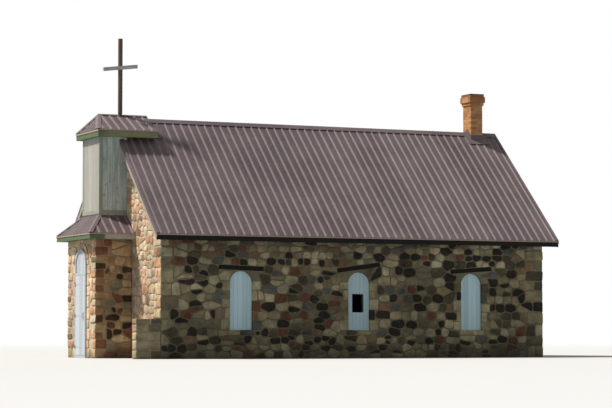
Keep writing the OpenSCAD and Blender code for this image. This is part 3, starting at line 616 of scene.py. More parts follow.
def make_materials(scene):
    """Makes every finish once, by name."""
    stone, timber = scene.chapel_stone, scene.chapel_timber
    right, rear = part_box("right_wall"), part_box("rear_gable")
    mortar_material("mortar", stone, (rear[0].x + 0.004, -right[1].y + 0.004, right[0].x - 0.03))
    # lit holds the paler front palette and mortar, partly painted sunlight; corner blocks show it on their
    # front faces only.
    lit = (FRONT_STONES_WITH_PAINTED_SUN, stone.front_mortar_with_painted_sun)
    stone_material("fieldstone", SIDE_STONES, stone.mortar)
    stone_material("corner_stone", SIDE_STONES, stone.mortar, *lit)
    stone_material("porch_fieldstone", PORCH_STONES, stone.porch_mortar)
    stone_material("porch_corner_stone", PORCH_STONES, stone.porch_mortar, *lit)
    stone_material("front_fieldstone", *lit)
    flagstone_material("flagstone")
    for name, sheets in RIBBED_SHEETS.items():
        metal_material(name, scene.chapel_roof, *sheets)
    metal_material("folded_metal", scene.chapel_roof)
    for name, paint, peel, dirt in (
            ("cream_boards", timber.cream, 0.4, 0.3), ("grey_green_boards", timber.grey_green, 0.6, 0.95),
            ("belfry_trim", timber.trim, 0.35, 0.4), ("window_boards", timber.pale_blue, 0.10, 0.14),
            ("door_boards", timber.white, 0.2, 0.22)):
        board_material(name, paint, timber.bare, peel, dirt)
    board_material("barge_paint", (0.50, 0.43, 0.36), timber.bare, 0.5, 0.4, (0.2, 0.2, 0.4))
    # The eave boards are set near black, darker than the other timber.
    wood_material("eave_stain", timber.dark, LENGTHWISE, 50.0, 0.3)
    wood_material("roof_timber", (0.30, 0.215, 0.135), (0.5, 0.08, 0.08), 45.0, 0.3)
    wood_material("lintel_wood", (0.014, 0.011, 0.008), LENGTHWISE, 50.0)
    wood_material("post_wood", (0.175, 0.125, 0.090), scale=60.0)
    wood_material("arm_wood", (0.60, 0.61, 0.60), LENGTHWISE, 40.0, 0.15)
    brick_material("brick", scene.chapel_brick.brick)
    plain_mortar_material("brick_mortar", (0.40, 0.34, 0.26))
    iron_material("iron", (0.030, 0.029, 0.028), 0.85, 0.45)
    iron_material("painted_iron", times(timber.white, 0.88), 0.0, 0.56)
    two_tone_material("skirt_fascia", timber.green, timber.cream, timber.bare,
                      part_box("skirt_eave_box")[0].x + 0.42, 0.10)
    two_tone_material("cap_fascia", timber.green, timber.worn_green, timber.bare,
                      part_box("belfry_eave_box")[0].x + 0.22, 0.5)


RIBBED_SHEETS = {
    "nave_sheet": (["right_roof_sheet", "left_roof_sheet"], "X"),
    "skirt_side_sheet": (["skirt_roof_right", "skirt_roof_left"], "X"),
    "skirt_front_sheet": (["skirt_roof_front"], "Y"),
    "belfry_sheet": (["belfry_roof_sheets"], "both"),
}
CAD_FINISHES = {
    **{name: node_names for name, (node_names, _) in RIBBED_SHEETS.items()},
    "mortar": ["right_wall", "left_wall", "front_gable_right", "front_gable_left", "front_gable_head",
               "rear_gable", "porch_right_wall", "porch_left_wall", "porch_front_right",
               "porch_front_left", "porch_front_head", "wing_wall"],
    "flagstone": ["nave_floor", "porch_floor"],
    "roof_timber": ["porch_ceiling", "wall_plates", "rafters", "ridge_board", "right_roof_boards",
                    "left_roof_boards", "skirt_boards", "belfry_roof_boards"],
    "folded_metal": ["ridge_cap", "skirt_hip_caps", "belfry_hip_caps", "chimney_flashing"],
    "post_wood": ["cross_post"],
    "arm_wood": ["cross_arm"],
    "eave_stain": ["eave_fascias"],
    "barge_paint": ["barge_boards"],
    "skirt_fascia": ["skirt_eave_box"],
    "cap_fascia": ["belfry_eave_box"],
    "belfry_trim": ["belfry_trim"],
    "grey_green_boards": ["belfry_right", "belfry_left"],
    "cream_boards": ["belfry_front"],
    "window_boards": ["right_window_boards", "left_window_boards"],
    "door_boards": ["door_frame", "door_transom"],
    "brick_mortar": ["chimney_shaft", "chimney_cap"],
    "painted_iron": ["door_ironwork"],
    "iron": ["door_hinges"],
}


# Mesh helpers

class Shape:
    """Points and faces of one piece, with a tone and a projection for each face."""

    def __init__(self):
        self.points = []
        self.faces = []
        self.tones = []
        self.prouds = []

    def add(self, points, faces, tone=0.5, proud=0.0):
        start = len(self.points)
        self.points.extend(points)
        self.faces.extend([tuple(start + i for i in face) for face in faces])
        self.tones.extend([tone] * len(faces))
        self.prouds.extend([proud] * len(faces))

    def build(self, name):
        mesh = bpy.data.meshes.new(name)
        mesh.from_pydata([tuple(p) for p in self.points], [], self.faces)
        for key, values in (("tone", self.tones), ("proud", self.prouds)):
            mesh.attributes.new(key, "FLOAT", "FACE").data.foreach_set("value", values)
        mesh.update()
        return placed(name, mesh)


def placed(name, data):
    """A new object in the scene."""
    piece = bpy.data.objects.new(name, data)
    bpy.context.scene.collection.objects.link(piece)
    return piece


def stand_in(name):
    """A tiny triangle for a tree that makes its own geometry."""
    shape = Shape()
    shape.add([(0, 0, 0), (0.001, 0, 0), (0, 0.001, 0)], [(0, 1, 2)])
    return shape.build(name)


def finish_in(mesh, material):
    """Gives a mesh one material and no other slot."""
    mesh.materials.clear()
    mesh.materials.append(bpy.data.materials[material])


def settle(piece, slot, material=None, body=CHAPEL, replaces=()):
    """Gives a finished piece its material and the body that carries it. The slot argument is not used."""
    if material:
        finish_in(piece.data, material)
    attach(piece, body)
    if replaces:
        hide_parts(*replaces)


def keep_above_ground(piece):
    """Flattens what reaches below the ground on the lowest stones."""
    for vertex in piece.data.vertices:
        vertex.co.z = max(vertex.co.z, 0.0)


def freeze(piece):
    """Turns a piece and its modifiers into a plain mesh."""
    seen = bpy.context.evaluated_depsgraph_get()
    seen.update()
    old, piece.data = piece.data, bpy.data.meshes.new_from_object(piece.evaluated_get(seen))
    piece.modifiers.clear()
    piece.data.name = piece.name
    bpy.data.meshes.remove(old)
    return piece


def eased(piece, width):
    """Takes the sharpness off a piece's edges."""
    piece.modifiers.new("edge", "BEVEL").width = width
    return freeze(piece)


def grow(piece, tree_name, material, values):
    """Runs a geometry tree on a piece with the given inputs, and keeps the result as a plain mesh."""
    values = {**values, "Material": bpy.data.materials[material]}
    modifier = piece.modifiers.new(tree_name, "NODES")
    modifier.node_group = bpy.data.node_groups.get(tree_name) or TREES[tree_name]()
    for item in modifier.node_group.interface.items_tree:
        if item.item_type == "SOCKET" and item.in_out == "INPUT" and item.name in values:
            modifier[item.identifier] = values[item.name]
    finish_in(freeze(piece).data, material)
    return piece


def outward(points, faces):
    """The faces of one closed form, all turned round where they look inward."""
    centre = sum((Vector(p) for p in points), Vector()) / len(points)
    volume = 0.0
    for face in faces:
        first, *others = [Vector(points[i]) - centre for i in face]
        volume += sum(first.dot(a.cross(b)) for a, b in pairwise(others))
    return faces if volume > 0 else [tuple(reversed(face)) for face in faces]


def band(low, high, count):
    """Faces between two rings of points that start at the given numbers."""
    return [(low + (i + 1) % count, low + i, high + i, high + (i + 1) % count) for i in range(count)]


def tube(rings):
    """A closed form through rings that all have as many points."""
    count = len(rings[0])
    last = (len(rings) - 1) * count
    faces = [tuple(range(count)), tuple(reversed(range(last, last + count)))]
    for start in range(0, last, count):
        faces += band(start, start + count, count)
    points = [point for ring in rings for point in ring]
    return points, outward(points, faces)


def prism(outline, low, high, place):
    """A closed prism over a flat outline, between two depths."""
    return tube([[place(a, b, depth) for a, b in outline] for depth in (low, high)])


def straight_box(low, high):
    return prism(rectangle(low[0], high[0], low[1], high[1]), low[2], high[2], lambda x, y, z: (x, y, z))


def rectangle(left, right, low, high):
    return [(left, low), (right, low), (right, high), (left, high)]


def shell_pattern(steps):
    """Surface of a block cut into a grid at the given shares of each side."""
    index, faces = {}, []
    top = len(steps) - 1
    for axis, side, a, b in product(range(3), (0, top), range(top), range(top)):
        quad = []
        for p, q in ((a, b), (a + 1, b), (a + 1, b + 1), (a, b + 1)):
            key = [0, 0, 0]
            key[axis], key[(axis + 1) % 3], key[(axis + 2) % 3] = side, p, q
            quad.append(index.setdefault(tuple(key), len(index)))
        faces.append(tuple(quad if side else reversed(quad)))
    return [tuple(steps[k] for k in key) for key in index], faces


BLOCK_SHARES, BLOCK_QUADS = shell_pattern((0.0, 0.2, 0.8, 1.0))


def add_block(shape, corners, tone):
    """A stone block between eight corners, where corners[i][j][k] is the end of each of its axes."""
    points = []
    for u, v, w in BLOCK_SHARES:
        point = Vector()
        for i, j, k in product((0, 1), repeat=3):
            weight = abs(1 - i - u) * abs(1 - j - v) * abs(1 - k - w)
            point += weight * Vector(corners[i][j][k])
        points.append(point)
    shape.add(points, BLOCK_QUADS, tone)


def box_corners(one, other):
    """The corners of an upright box between two opposite ones, as add_block takes them."""
    xs, ys, zs = (sorted(pair) for pair in zip(one, other))
    return [[[(x, y, z) for z in zs] for y in ys] for x in xs]


# Geometry trees

def open_tree(name, inputs):
    return open_group(name, "GeometryNodeTree", {
        "Geometry": ("Geometry", None), **inputs, "Material": ("Material", None)},
        {"Geometry": "Geometry"})


def close_tree(given, result, geometry):
    """Ends a tree as one plain mesh in the given material."""
    joined = made(given.tree, "GeometryNodeRealizeInstances", {"Geometry": geometry})
    return close_group(result, {"Geometry": made(given.tree, "GeometryNodeSetMaterial", {
        "Geometry": joined, "Material": given["Material"]})})


def join(*parts):
    node = parts[0].tree.nodes.new("GeometryNodeJoinGeometry")
    for part in parts:
        put(node.inputs[0], part)
    return Signal(node.outputs[0])


def store(geometry, name, value, domain, selection=True):
    return made(geometry.tree, "GeometryNodeStoreNamedAttribute", {
        "Geometry": geometry, "Selection": selection, "Name": name, "Value": value},
        data_type="FLOAT", domain=domain)


def stored(tree, name, data_type):
    return made(tree, "GeometryNodeInputNamedAttribute", {"Name": name}, data_type=data_type)


def chance(seed, low=0.0, high=1.0):
    return made(seed.tree, "FunctionNodeRandomValue", {2: low, 3: high, "Seed": seed}, 1, data_type="FLOAT")


def roughened(geometry, given):
    """Rounds a mesh and moves its points along their normals by a noise of their place alone."""
    tree = given.tree
    finer = made(tree, "GeometryNodeSubdivisionSurface", {"Mesh": geometry, "Level": 1})
    place, normal = made(tree, "GeometryNodeInputPosition"), made(tree, "GeometryNodeInputNormal")
    rough = made(tree, "ShaderNodeTexNoise", {
        "Vector": place, "Scale": 6.5, "Detail": 3.0, "Roughness": 0.6, "W": given["Seed"]},
        noise_dimensions="4D")
    shift = made(tree, "ShaderNodeVectorMath", {
        0: normal, "Scale": (rough - 0.5) * given["Unevenness"]}, operation="SCALE")
    moved = made(tree, "GeometryNodeSetPosition", {"Geometry": finer, "Offset": shift})
    return made(tree, "GeometryNodeSetShadeSmooth", {"Geometry": moved})


def rubble_tree():
    """Turns flat cells into rounded stones that stand out of the wall by each cell's own amount."""
    given, result = open_tree("rubble", {"Bed": ("Float", 0.012), "Rounding": ("Float", 0.26),
                                         "Unevenness": ("Float", 0.01), "Seed": ("Float", 0.0)})

    def raised(mesh, selection, rise):
        return made(given.tree, "GeometryNodeExtrudeMesh", {
            "Mesh": mesh, "Selection": selection, "Offset Scale": rise}, mode="FACES")

    def drawn_in(mesh, scale):
        return made(given.tree, "GeometryNodeScaleElements", {
            "Geometry": mesh, "Selection": mesh["Top"], "Scale": scale}, domain="FACE")

    proud = stored(given.tree, "proud", "FLOAT")
    flat = store(given["Geometry"], "rim", 1.0, "POINT")
    lower = raised(flat, True, given["Bed"] + proud * 0.55)
    upper = raised(drawn_in(lower, 0.97), lower["Top"], proud * 0.45)
    crown = store(drawn_in(upper, given["Rounding"].rest()), "rim", 0.0, "POINT", upper["Top"])
    backs = made(given.tree, "GeometryNodeFlipFaces", {"Mesh": flat})
    closed = made(given.tree, "GeometryNodeMergeByDistance", {
        "Geometry": join(backs, crown), "Distance": 0.0001})
    return close_tree(given, result, roughened(closed, given))


def hewn_tree():
    """Rounds and roughens closed blocks."""
    given, result = open_tree("hewn", {"Unevenness": ("Float", 0.01), "Seed": ("Float", 0.0)})
    return close_tree(given, result, roughened(given["Geometry"], given))


def boarding_tree():
    """A row of upright boards along X from the origin, each a little nearer or further than the next."""
    given, result = open_tree("boarding", {
        "Width": ("Float", 1.3), "Height": ("Float", 2.0), "Thickness": ("Float", 0.012),
        "Board": ("Float", 0.13), "Groove": ("Float", 0.005), "Seed": ("Int", 0)})
    tree, thick, height, play = given.tree, given["Thickness"], given["Height"], 0.0015
    count = (given["Width"] / given["Board"]).maths("ROUND").maths("MAXIMUM", 1.0)
    pitch = given["Width"] / count
    row = made(tree, "GeometryNodeMeshLine", {"Count": count, "Start Location": combine(pitch * 0.5),
                                              "Offset": combine(pitch)})
    board = made(tree, "GeometryNodeMeshCube", {"Size": combine(pitch - given["Groove"], thick, height)})
    board = made(tree, "GeometryNodeTransform", {
        "Geometry": board, "Translation": combine(0.0, thick * 0.5, height * 0.5)})
    boards = made(tree, "GeometryNodeInstanceOnPoints", {"Points": row, "Instance": board})
    boards = made(tree, "GeometryNodeTranslateInstances", {
        "Instances": boards, "Translation": combine(0.0, chance(given["Seed"], -play, play))})
    return close_tree(given, result, store(boards, "tone", chance(given["Seed"] + 7.0), "INSTANCE"))


def brick_tree():
    """A brick on each point, as large as the point's own size."""
    given, result = open_tree("bricks", {"Jitter": ("Float", 0.0015), "Seed": ("Int", 0)})
    tree, jitter = given.tree, given["Jitter"]
    back = jitter * -1.0
    brick = made(tree, "GeometryNodeMeshCube", {"Size": (1.0, 1.0, 1.0)})
    bricks = made(tree, "GeometryNodeInstanceOnPoints", {
        "Points": given["Geometry"], "Instance": brick, "Scale": stored(tree, "size", "FLOAT_VECTOR")})
    shift = made(tree, "FunctionNodeRandomValue", {
        0: combine(back, back), 1: combine(jitter, jitter), "Seed": given["Seed"]},
        data_type="FLOAT_VECTOR")
    bricks = made(tree, "GeometryNodeTranslateInstances", {"Instances": bricks, "Translation": shift})
    return close_tree(given, result, store(bricks, "tone", chance(given["Seed"] + 5.0), "INSTANCE"))


def screw_tree():
    """Screws with washers in a grid: one column a rib, rows up the slope, tilted with the roof."""
    given, result = open_tree("screws", {
        "Columns": ("Int", 10), "Rows": ("Int", 5), "Rib pitch": ("Float", 0.2286), "Run": ("Float", 4.0),
        "Slope": ("Float", 0.7), "Radius": ("Float", 0.011), "Place": ("Vector", None)})

    def turned(sides, top, bottom, depth):
        return made(given.tree, "GeometryNodeMeshCone", {
            "Vertices": sides, "Radius Top": top, "Radius Bottom": bottom, "Depth": depth})

    radius = given["Radius"]
    grid = made(given.tree, "GeometryNodeMeshGrid", {
        "Size X": (given["Columns"] - 1.0) * given["Rib pitch"], "Size Y": given["Run"],
        "Vertices X": given["Columns"], "Vertices Y": given["Rows"]})
    head, washer = turned(6, radius * 0.42, radius * 0.5, 0.010), turned(8, radius * 0.7, radius, 0.004)
    screws = made(given.tree, "GeometryNodeInstanceOnPoints", {
        "Points": grid, "Instance": join(head, washer)})
    tilted = made(given.tree, "GeometryNodeTransform", {
        "Geometry": screws, "Translation": given["Place"], "Rotation": combine(given["Slope"])})
    return close_tree(given, result, tilted)


TREES = {"rubble": rubble_tree, "hewn": hewn_tree, "boarding": boarding_tree, "bricks": brick_tree,
         "screws": screw_tree}


# Stone layout

class WallFace:
    """A flat wall face: where it is, its outline, and what interrupts it."""

    def __init__(self, middle, out, outline):
        self.middle = Vector(middle)
        self.out = Vector(out)
        self.along = UP.cross(self.out)
        self.outline = outline
        self.obstacles = []

    def at(self, a, b, depth=0.0):
        return self.middle + self.along * float(a) + UP * float(b) + self.out * depth

    def block_out(self, low, high):
        """Keeps fieldstones off the part of the face that a box covers."""
        a0, a1 = sorted((Vector(point) - self.middle).dot(self.along) for point in (low, high))
        self.obstacles.append(rectangle(a0, a1, low[2], high[2]))


def edges_of(polygon):
    return zip(polygon, polygon[1:] + polygon[:1])


def cut(polygon, nx, ny, limit):
    """The part of a convex polygon where nx * a + ny * b is at most limit."""
    kept = []
    for p, q in edges_of(polygon):
        dp = nx * p[0] + ny * p[1] - limit
        dq = nx * q[0] + ny * q[1] - limit
        if dp <= 0:
            kept.append(p)
        if (dp < 0 < dq) or (dq < 0 < dp):
            t = dp / (dp - dq)
            kept.append((p[0] + t * (q[0] - p[0]), p[1] + t * (q[1] - p[1])))
    return kept


def nearest_on(polygon, point):
    """The nearest point of a convex polygon's edge, its distance, and whether the point is inside."""
    best, place, inside = math.inf, None, True
    px, py = point
    for (ax, ay), (bx, by) in edges_of(polygon):
        ex, ey = bx - ax, by - ay
        if abs(ex) + abs(ey) < 1e-6:
            continue
        if ex * (py - ay) - ey * (px - ax) < 0:
            inside = False
        t = max(0.0, min(1.0, ((px - ax) * ex + (py - ay) * ey) / (ex * ex + ey * ey)))
        found = (ax + t * ex, ay + t * ey)
        distance = math.dist(point, found)
        if distance < best:
            best, place = distance, found
    return place, best, inside


SMALL_STONE = 0.030
FULL_STONE = 0.06


def stone_tone(rng, area):
    """A tone for one stone; small stones are often among the dark ones."""
    if area < SMALL_STONE and rng.random() < 0.5:
        return rng.choice(DARK_TONES)
    return rng.random()


def seed_points(rng, outline, stone):
    """Places of the stones, in rough courses; some high courses hold two stones in their height."""
    points = []
    (left, low), (right, top) = (map(pick, zip(*outline)) for pick in (min, max))
    shortest, longest = stone["length"]
    high_course, split_share, off_along, off_up = 0.2, 0.30, 0.12, 0.16
    height = low
    while height < top:
        course = rng.uniform(*stone["course"])
        a = left - rng.uniform(0.0, longest)
        while a < right:
            long = rng.uniform(shortest, longest) * (0.6 + 0.4 * course / stone["course"][1])
            split = rng.random() < split_share and course > high_course
            for part in ((0.27, 0.73) if split else (0.5,)):
                points.append((a + long / 2 + rng.uniform(-off_along, off_along) * long,
                               height + course * (part + rng.uniform(-off_up, off_up))))
            a += long
        height += course
    return points


def soften(polygon, least, rng):
    """Cuts the corners of a cell, draws in its long sides and drops points that lie close together."""
    long_side, rounded = 0.15, []
    for p, q in edges_of(polygon):
        ex, ey = q[0] - p[0], q[1] - p[1]
        share_cut = rng.uniform(0.05, 0.18)
        hollow = rng.uniform(0.0, 0.07) if math.hypot(ex, ey) > long_side else 0.0
        bend = rng.uniform(0.35, 0.65)
        for t, inward in ((share_cut, 0.0), (bend, hollow), (1 - share_cut, 0.0)):
            if t != bend or hollow:
                rounded.append((p[0] + t * ex - inward * ey, p[1] + t * ey + inward * ex))
    kept = []
    for p in rounded:
        if not kept or math.dist(p, kept[-1]) > least:
            kept.append(p)
    while len(kept) > 3 and math.dist(kept[0], kept[-1]) < least:
        kept.pop()
    return kept


def polygon_area(polygon):
    return 0.5 * sum(p[0] * q[1] - q[0] * p[1] for p, q in edges_of(polygon))


FLATTEN = 1.5
NEIGHBOURS = 25
OUTLINE_MARGIN = 0.035
OBSTACLE_MARGIN = 0.05
EDGE_JOINT = 0.004


def lay_cells(rng, outline, obstacles, stone):
    """Cells of a rubble wall: each stone's area, cut off at its neighbours, outline and obstacles."""
    def is_clear(point):
        _, distance, inside = nearest_on(outline, point)
        if not inside or distance <= OUTLINE_MARGIN:
            return False
        near = (nearest_on(obstacle, point) for obstacle in obstacles)
        return all(not inside and distance > OBSTACLE_MARGIN for _, distance, inside in near)

    seeds = [point for point in seed_points(rng, outline, stone) if is_clear(point)]
    table = np.array(seeds)
    reach = stone["length"][1]
    cells = []
    for i, (a, b) in enumerate(seeds):
        gap = rng.uniform(*stone["joint"]) / 2
        cell = rectangle(a - reach, a + reach, b - reach, b + reach)
        offsets = table - table[i]
        far = np.hypot(offsets[:, 0], offsets[:, 1] * FLATTEN)
        for j in np.argsort(far)[1:NEIGHBOURS + 1]:
            dx, dy = offsets[j][0], offsets[j][1] * FLATTEN * FLATTEN
            size = math.hypot(dx, dy)
            dx, dy = dx / size, dy / size
            middle = dx * (a + offsets[j][0] / 2) + dy * (b + offsets[j][1] / 2)
            cell = cut(cell, dx, dy, middle - gap)
            if len(cell) < 3:
                break
        for (ax, ay), (bx, by) in edges_of(outline):
            size = math.hypot(bx - ax, by - ay)
            nx, ny = (by - ay) / size, (ax - bx) / size
            cell = cut(cell, nx, ny, nx * ax + ny * ay - EDGE_JOINT)
        for obstacle in obstacles:
            (qx, qy), distance, _ = nearest_on(obstacle, (a, b))
            if distance < reach * 1.5:
                nx, ny = (qx - a) / distance, (qy - b) / distance
                cell = cut(cell, nx, ny, nx * qx + ny * qy - gap)
        if len(cell) < 3:
            continue
        cell = soften(cell, stone["least"], rng)
        if len(cell) >= 4 and polygon_area(cell) > stone["smallest"]:
            cells.append(cell)
    return cells


def lay_face(shape, face, settings, rng):
    """Adds the flat cells of one wall face, set back by the bed."""
    stone = {"course": (settings.course_low, settings.course_high),
             "length": (settings.length_low, settings.length_high),
             "joint": (settings.joint_low, settings.joint_high), "least": 0.036, "smallest": 0.0045}
    for cell in lay_cells(rng, face.outline, face.obstacles, stone):
        area = polygon_area(cell)
        bold = min(1.0, area / FULL_STONE)
        proud = (settings.proud_low
                 + (settings.proud_high - settings.proud_low) * bold * rng.uniform(0.35, 1.0))
        middle_a, middle_b = (sum(p[i] for p in cell) / len(cell) for i in (0, 1))
        points = [face.at(middle_a + (a - middle_a) * settings.swell,
                          middle_b + (b - middle_b) * settings.swell, -settings.bed) for a, b in cell]
        shape.add(points, [tuple(range(len(points)))], stone_tone(rng, area), proud)


# Places on the building, from the frame

def roof_lines():
    """Roof slope and the heights at the middle of the gable masonry, the rib tops and the caps."""
    half = -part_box("right_wall")[0].y
    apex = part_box("rear_gable")[1].z
    shoulder = max(v.co.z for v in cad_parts["rear_gable"].data.vertices
                   if abs(v.co.y) >= half - 0.001)
    return {"fall": (apex - shoulder) / half, "masonry": apex,
            "ribs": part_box("right_roof_sheet")[1].z, "caps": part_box("ridge_cap")[1].z}


def rows(low, high, mean, rng, spread_by=0.22):
    """Pairs of heights that divide low..high into uneven rows of about the mean height."""
    count = max(1, round((high - low) / mean))
    parts = [1 + rng.uniform(-spread_by, spread_by) for _ in range(count)]
    scale = (high - low) / sum(parts)
    heights = [low]
    for part in parts:
        heights.append(heights[-1] + part * scale)
    return list(pairwise(heights))


def wall_faces():
    """Every outside face that carries fieldstones, with openings and neighbours blocked out."""
    right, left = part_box("right_wall"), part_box("left_wall")
    rear, gable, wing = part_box("rear_gable"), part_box("front_gable_head"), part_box("wing_wall")
    porch, belfry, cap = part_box("porch_front_head"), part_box("belfry_trim"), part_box("belfry_eave_box")
    skirt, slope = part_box("skirt_eave_box"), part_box("skirt_boards")
    lines = roof_lines()
    edge, covered, over_slope, over_box = 0.03, 0.02, 0.06, 0.05
    half, width, porch_y = right[1].x, -right[0].y, -porch[0].y
    shoulder = lines["masonry"] - width * lines["fall"] - covered
    sides = rectangle(-half, half, 0, right[1].z - covered)
    pentagon = [(-width, 0), (width, 0), (width, shoulder), (0, lines["masonry"] - edge),
                (-width, shoulder)]
    porch_top = porch[1].z - covered
    porch_run, porch_mid = gable[0].x - porch[0].x, (gable[0].x + porch[0].x) / 2
    porch_box = rectangle(-porch_run / 2, porch_run / 2, 0, porch_top)
    faces = {
        "right": WallFace((0, right[0].y, 0), (0, -1, 0), sides),
        "left": WallFace((0, left[1].y, 0), (0, 1, 0), sides),
        "rear": WallFace((rear[1].x, 0, 0), (1, 0, 0), pentagon),
        "front": WallFace((gable[0].x, 0, 0), (-1, 0, 0), pentagon),
        "porch_right": WallFace((porch_mid, -porch_y, 0), (0, -1, 0), porch_box),
        "porch_left": WallFace((porch_mid, porch_y, 0), (0, 1, 0), porch_box),
        "porch_front": WallFace((porch[0].x, 0, 0), (-1, 0, 0),
                                rectangle(-porch_y, porch_y, 0, porch_top)),
    }
    front, above = faces["front"], gable[1].z + 1
    front.block_out((0, -porch_y - edge, 0), (0, porch_y + edge, porch[1].z + over_box))
    front.block_out((0, skirt[0].y - edge, skirt[0].z - edge),
                    (0, skirt[1].y + edge, skirt[1].z + over_box))
    slope_top = slope[1].z + over_slope
    front.obstacles.append([(slope[0].y, skirt[0].z), (slope[1].y, skirt[0].z),
                            (belfry[1].y, slope_top), (belfry[0].y, slope_top)])
    front.block_out((0, belfry[0].y - edge, skirt[0].z), (0, belfry[1].y + edge, above))
    front.block_out((0, cap[0].y - edge, cap[0].z - edge), (0, cap[1].y + edge, above))
    front.block_out((0, wing[0].y - edge, 0), (0, wing[1].y + edge, wing[1].z + edge))
    return faces


ARCH_STEPS = 12


def arch_outline(width, low, crown, grow_by=0.0, middle=0.0):
    """Outline of an arched opening, anticlockwise, widened by grow_by."""
    radius, spring = width / 2 + grow_by, crown - width / 2
    turns = [math.pi * k / ARCH_STEPS for k in range(ARCH_STEPS + 1)]
    return [(middle - radius, low), (middle + radius, low),
            *((middle + radius * math.cos(turn), spring + radius * math.sin(turn)) for turn in turns)]


def loose_solids(node_name):
    """Points of each separate solid of a node, in order along X then Y."""
    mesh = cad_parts[node_name].data
    places = [tuple(round(c, 4) for c in v.co) for v in mesh.vertices]
    solids = []
    for polygon in mesh.polygons:
        found = {places[i] for i in polygon.vertices}
        apart = [solid for solid in solids if solid.isdisjoint(found)]
        found = found.union(*(solid for solid in solids if solid not in apart))
        solids = apart + [found]
    points = [np.array(sorted(solid)) for solid in solids]
    return sorted(points, key=lambda p: (p[:, 0].mean(), p[:, 1].mean()))


def window_places():
    """Middle of each window along the nave, its width, sill and crown."""
    low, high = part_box("left_window_boards")
    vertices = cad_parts["left_window_boards"].data.vertices
    xs = np.unique(np.round([v.co.x for v in vertices], 3))
    pier = 1.0
    spans = np.split(xs, np.flatnonzero(np.diff(xs) > pier) + 1)
    return [((span[0] + span[-1]) / 2, span[-1] - span[0], low.z, high.z) for span in spans]


# Operators

class CHAPEL_OT_stage(bpy.types.Operator):
    """Make the camera, the lights and the pale floor"""
    bl_idname = "chapel.stage"
    bl_label = "Stage"

    def execute(self, context):
        scene, settings = context.scene, context.scene.chapel_stage
        camera = placed("camera", bpy.data.cameras.new("camera"))
        camera.location = settings.eye
        camera.rotation_euler = self.turn_to(Vector(settings.aim) - Vector(settings.eye))
        camera.data.lens = settings.lens
        camera.data.clip_end = 3000.0
        scene.camera = camera
        sun = placed("main_light", bpy.data.lights.new("main_light", "SUN"))
        sun.data.energy = settings.sun_strength
        sun.data.angle = settings.sun_angle
        sun.data.color = (1.0, 0.965, 0.90)
        sun.rotation_euler = self.turn_to(Vector(settings.sun_towards))
        self.light_world(scene, settings.sky_strength)
        self.lay_floor(settings)
        scene.view_settings.view_transform = "Standard"
        return {"FINISHED"}

    def turn_to(self, direction):
        return direction.to_track_quat("-Z", "Y").to_euler()

    def seen_directly(self, tree):
        """1 for what the camera sees straight, in gloss or through glass."""
        path = made(tree, "ShaderNodeLightPath", output="Is Camera Ray")
        return path.maths("MAXIMUM", path["Is Glossy Ray"].maths("MAXIMUM", path["Is Transmission Ray"]))

    def light_world(self, scene, strength):
        scene.world = bpy.data.worlds.new("studio")
        scene.world.use_nodes = True
        tree = scene.world.node_tree
        tree.nodes.clear()
        light = made(tree, "ShaderNodeBackground", {"Color": (0.93, 0.97, 1.0), "Strength": strength})
        shown = made(tree, "ShaderNodeBackground", {"Color": (1.0, 1.0, 1.0), "Strength": 1.0})
        both = made(tree, "ShaderNodeMixShader", {0: self.seen_directly(tree), 1: light, 2: shown})
        made(tree, "ShaderNodeOutputWorld", {"Surface": both})

    def lay_floor(self, settings):
        """A round floor that fades to white far from the building."""
        radius, steps, fade_from, fade_to, lowered = settings.floor_radius, 64, 14.0, 90.0, 0.002
        turns = [math.tau * k / steps for k in range(steps)]
        shape = Shape()
        shape.add([(radius * math.cos(t), radius * math.sin(t), 0.0) for t in turns],
                  [tuple(range(steps))])
        floor = shape.build("floor")
        floor.location.z = -lowered
        place = start_material("floor")
        tree, axes = place.tree, separate(place)
        bounced = made(tree, "ShaderNodeLightPath", output="Is Diffuse Ray")
        shader = surface_of(mixed(bounced, settings.floor, settings.floor_bounce), 0.9)
        distance = made(tree, "ShaderNodeVectorMath", {0: combine(axes["X"], axes["Y"])}, "Value",
                        operation="LENGTH")
        white = made(tree, "ShaderNodeEmission", {"Color": (1.0, 1.0, 1.0), "Strength": 1.0})
        faded = spread(distance, fade_from, fade_to) * self.seen_directly(tree)
        show(made(tree, "ShaderNodeMixShader", {0: faded, 1: shader, 2: white}))
        finish_in(floor.data, "floor")


class CHAPEL_OT_finishes(bpy.types.Operator):
    """Make the materials and give the frame's own pieces theirs"""
    bl_idname = "chapel.finishes"
    bl_label = "Finishes"

    def execute(self, context):
        make_materials(context.scene)
        for finish, names in CAD_FINISHES.items():
            for name in names:
                finish_in(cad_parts[name].data, finish)
        return {"FINISHED"}


ENTRANCE_JAMB = {"runs": (0.25, 0.17), "height": 0.9, "joint": 0.003, "uneven": 0.1, "overlaps": False}
WINDOW_JAMB = {"runs": (0.23, 0.14), "height": 0.85, "joint": 0.004, "uneven": 0.15, "overlaps": True}


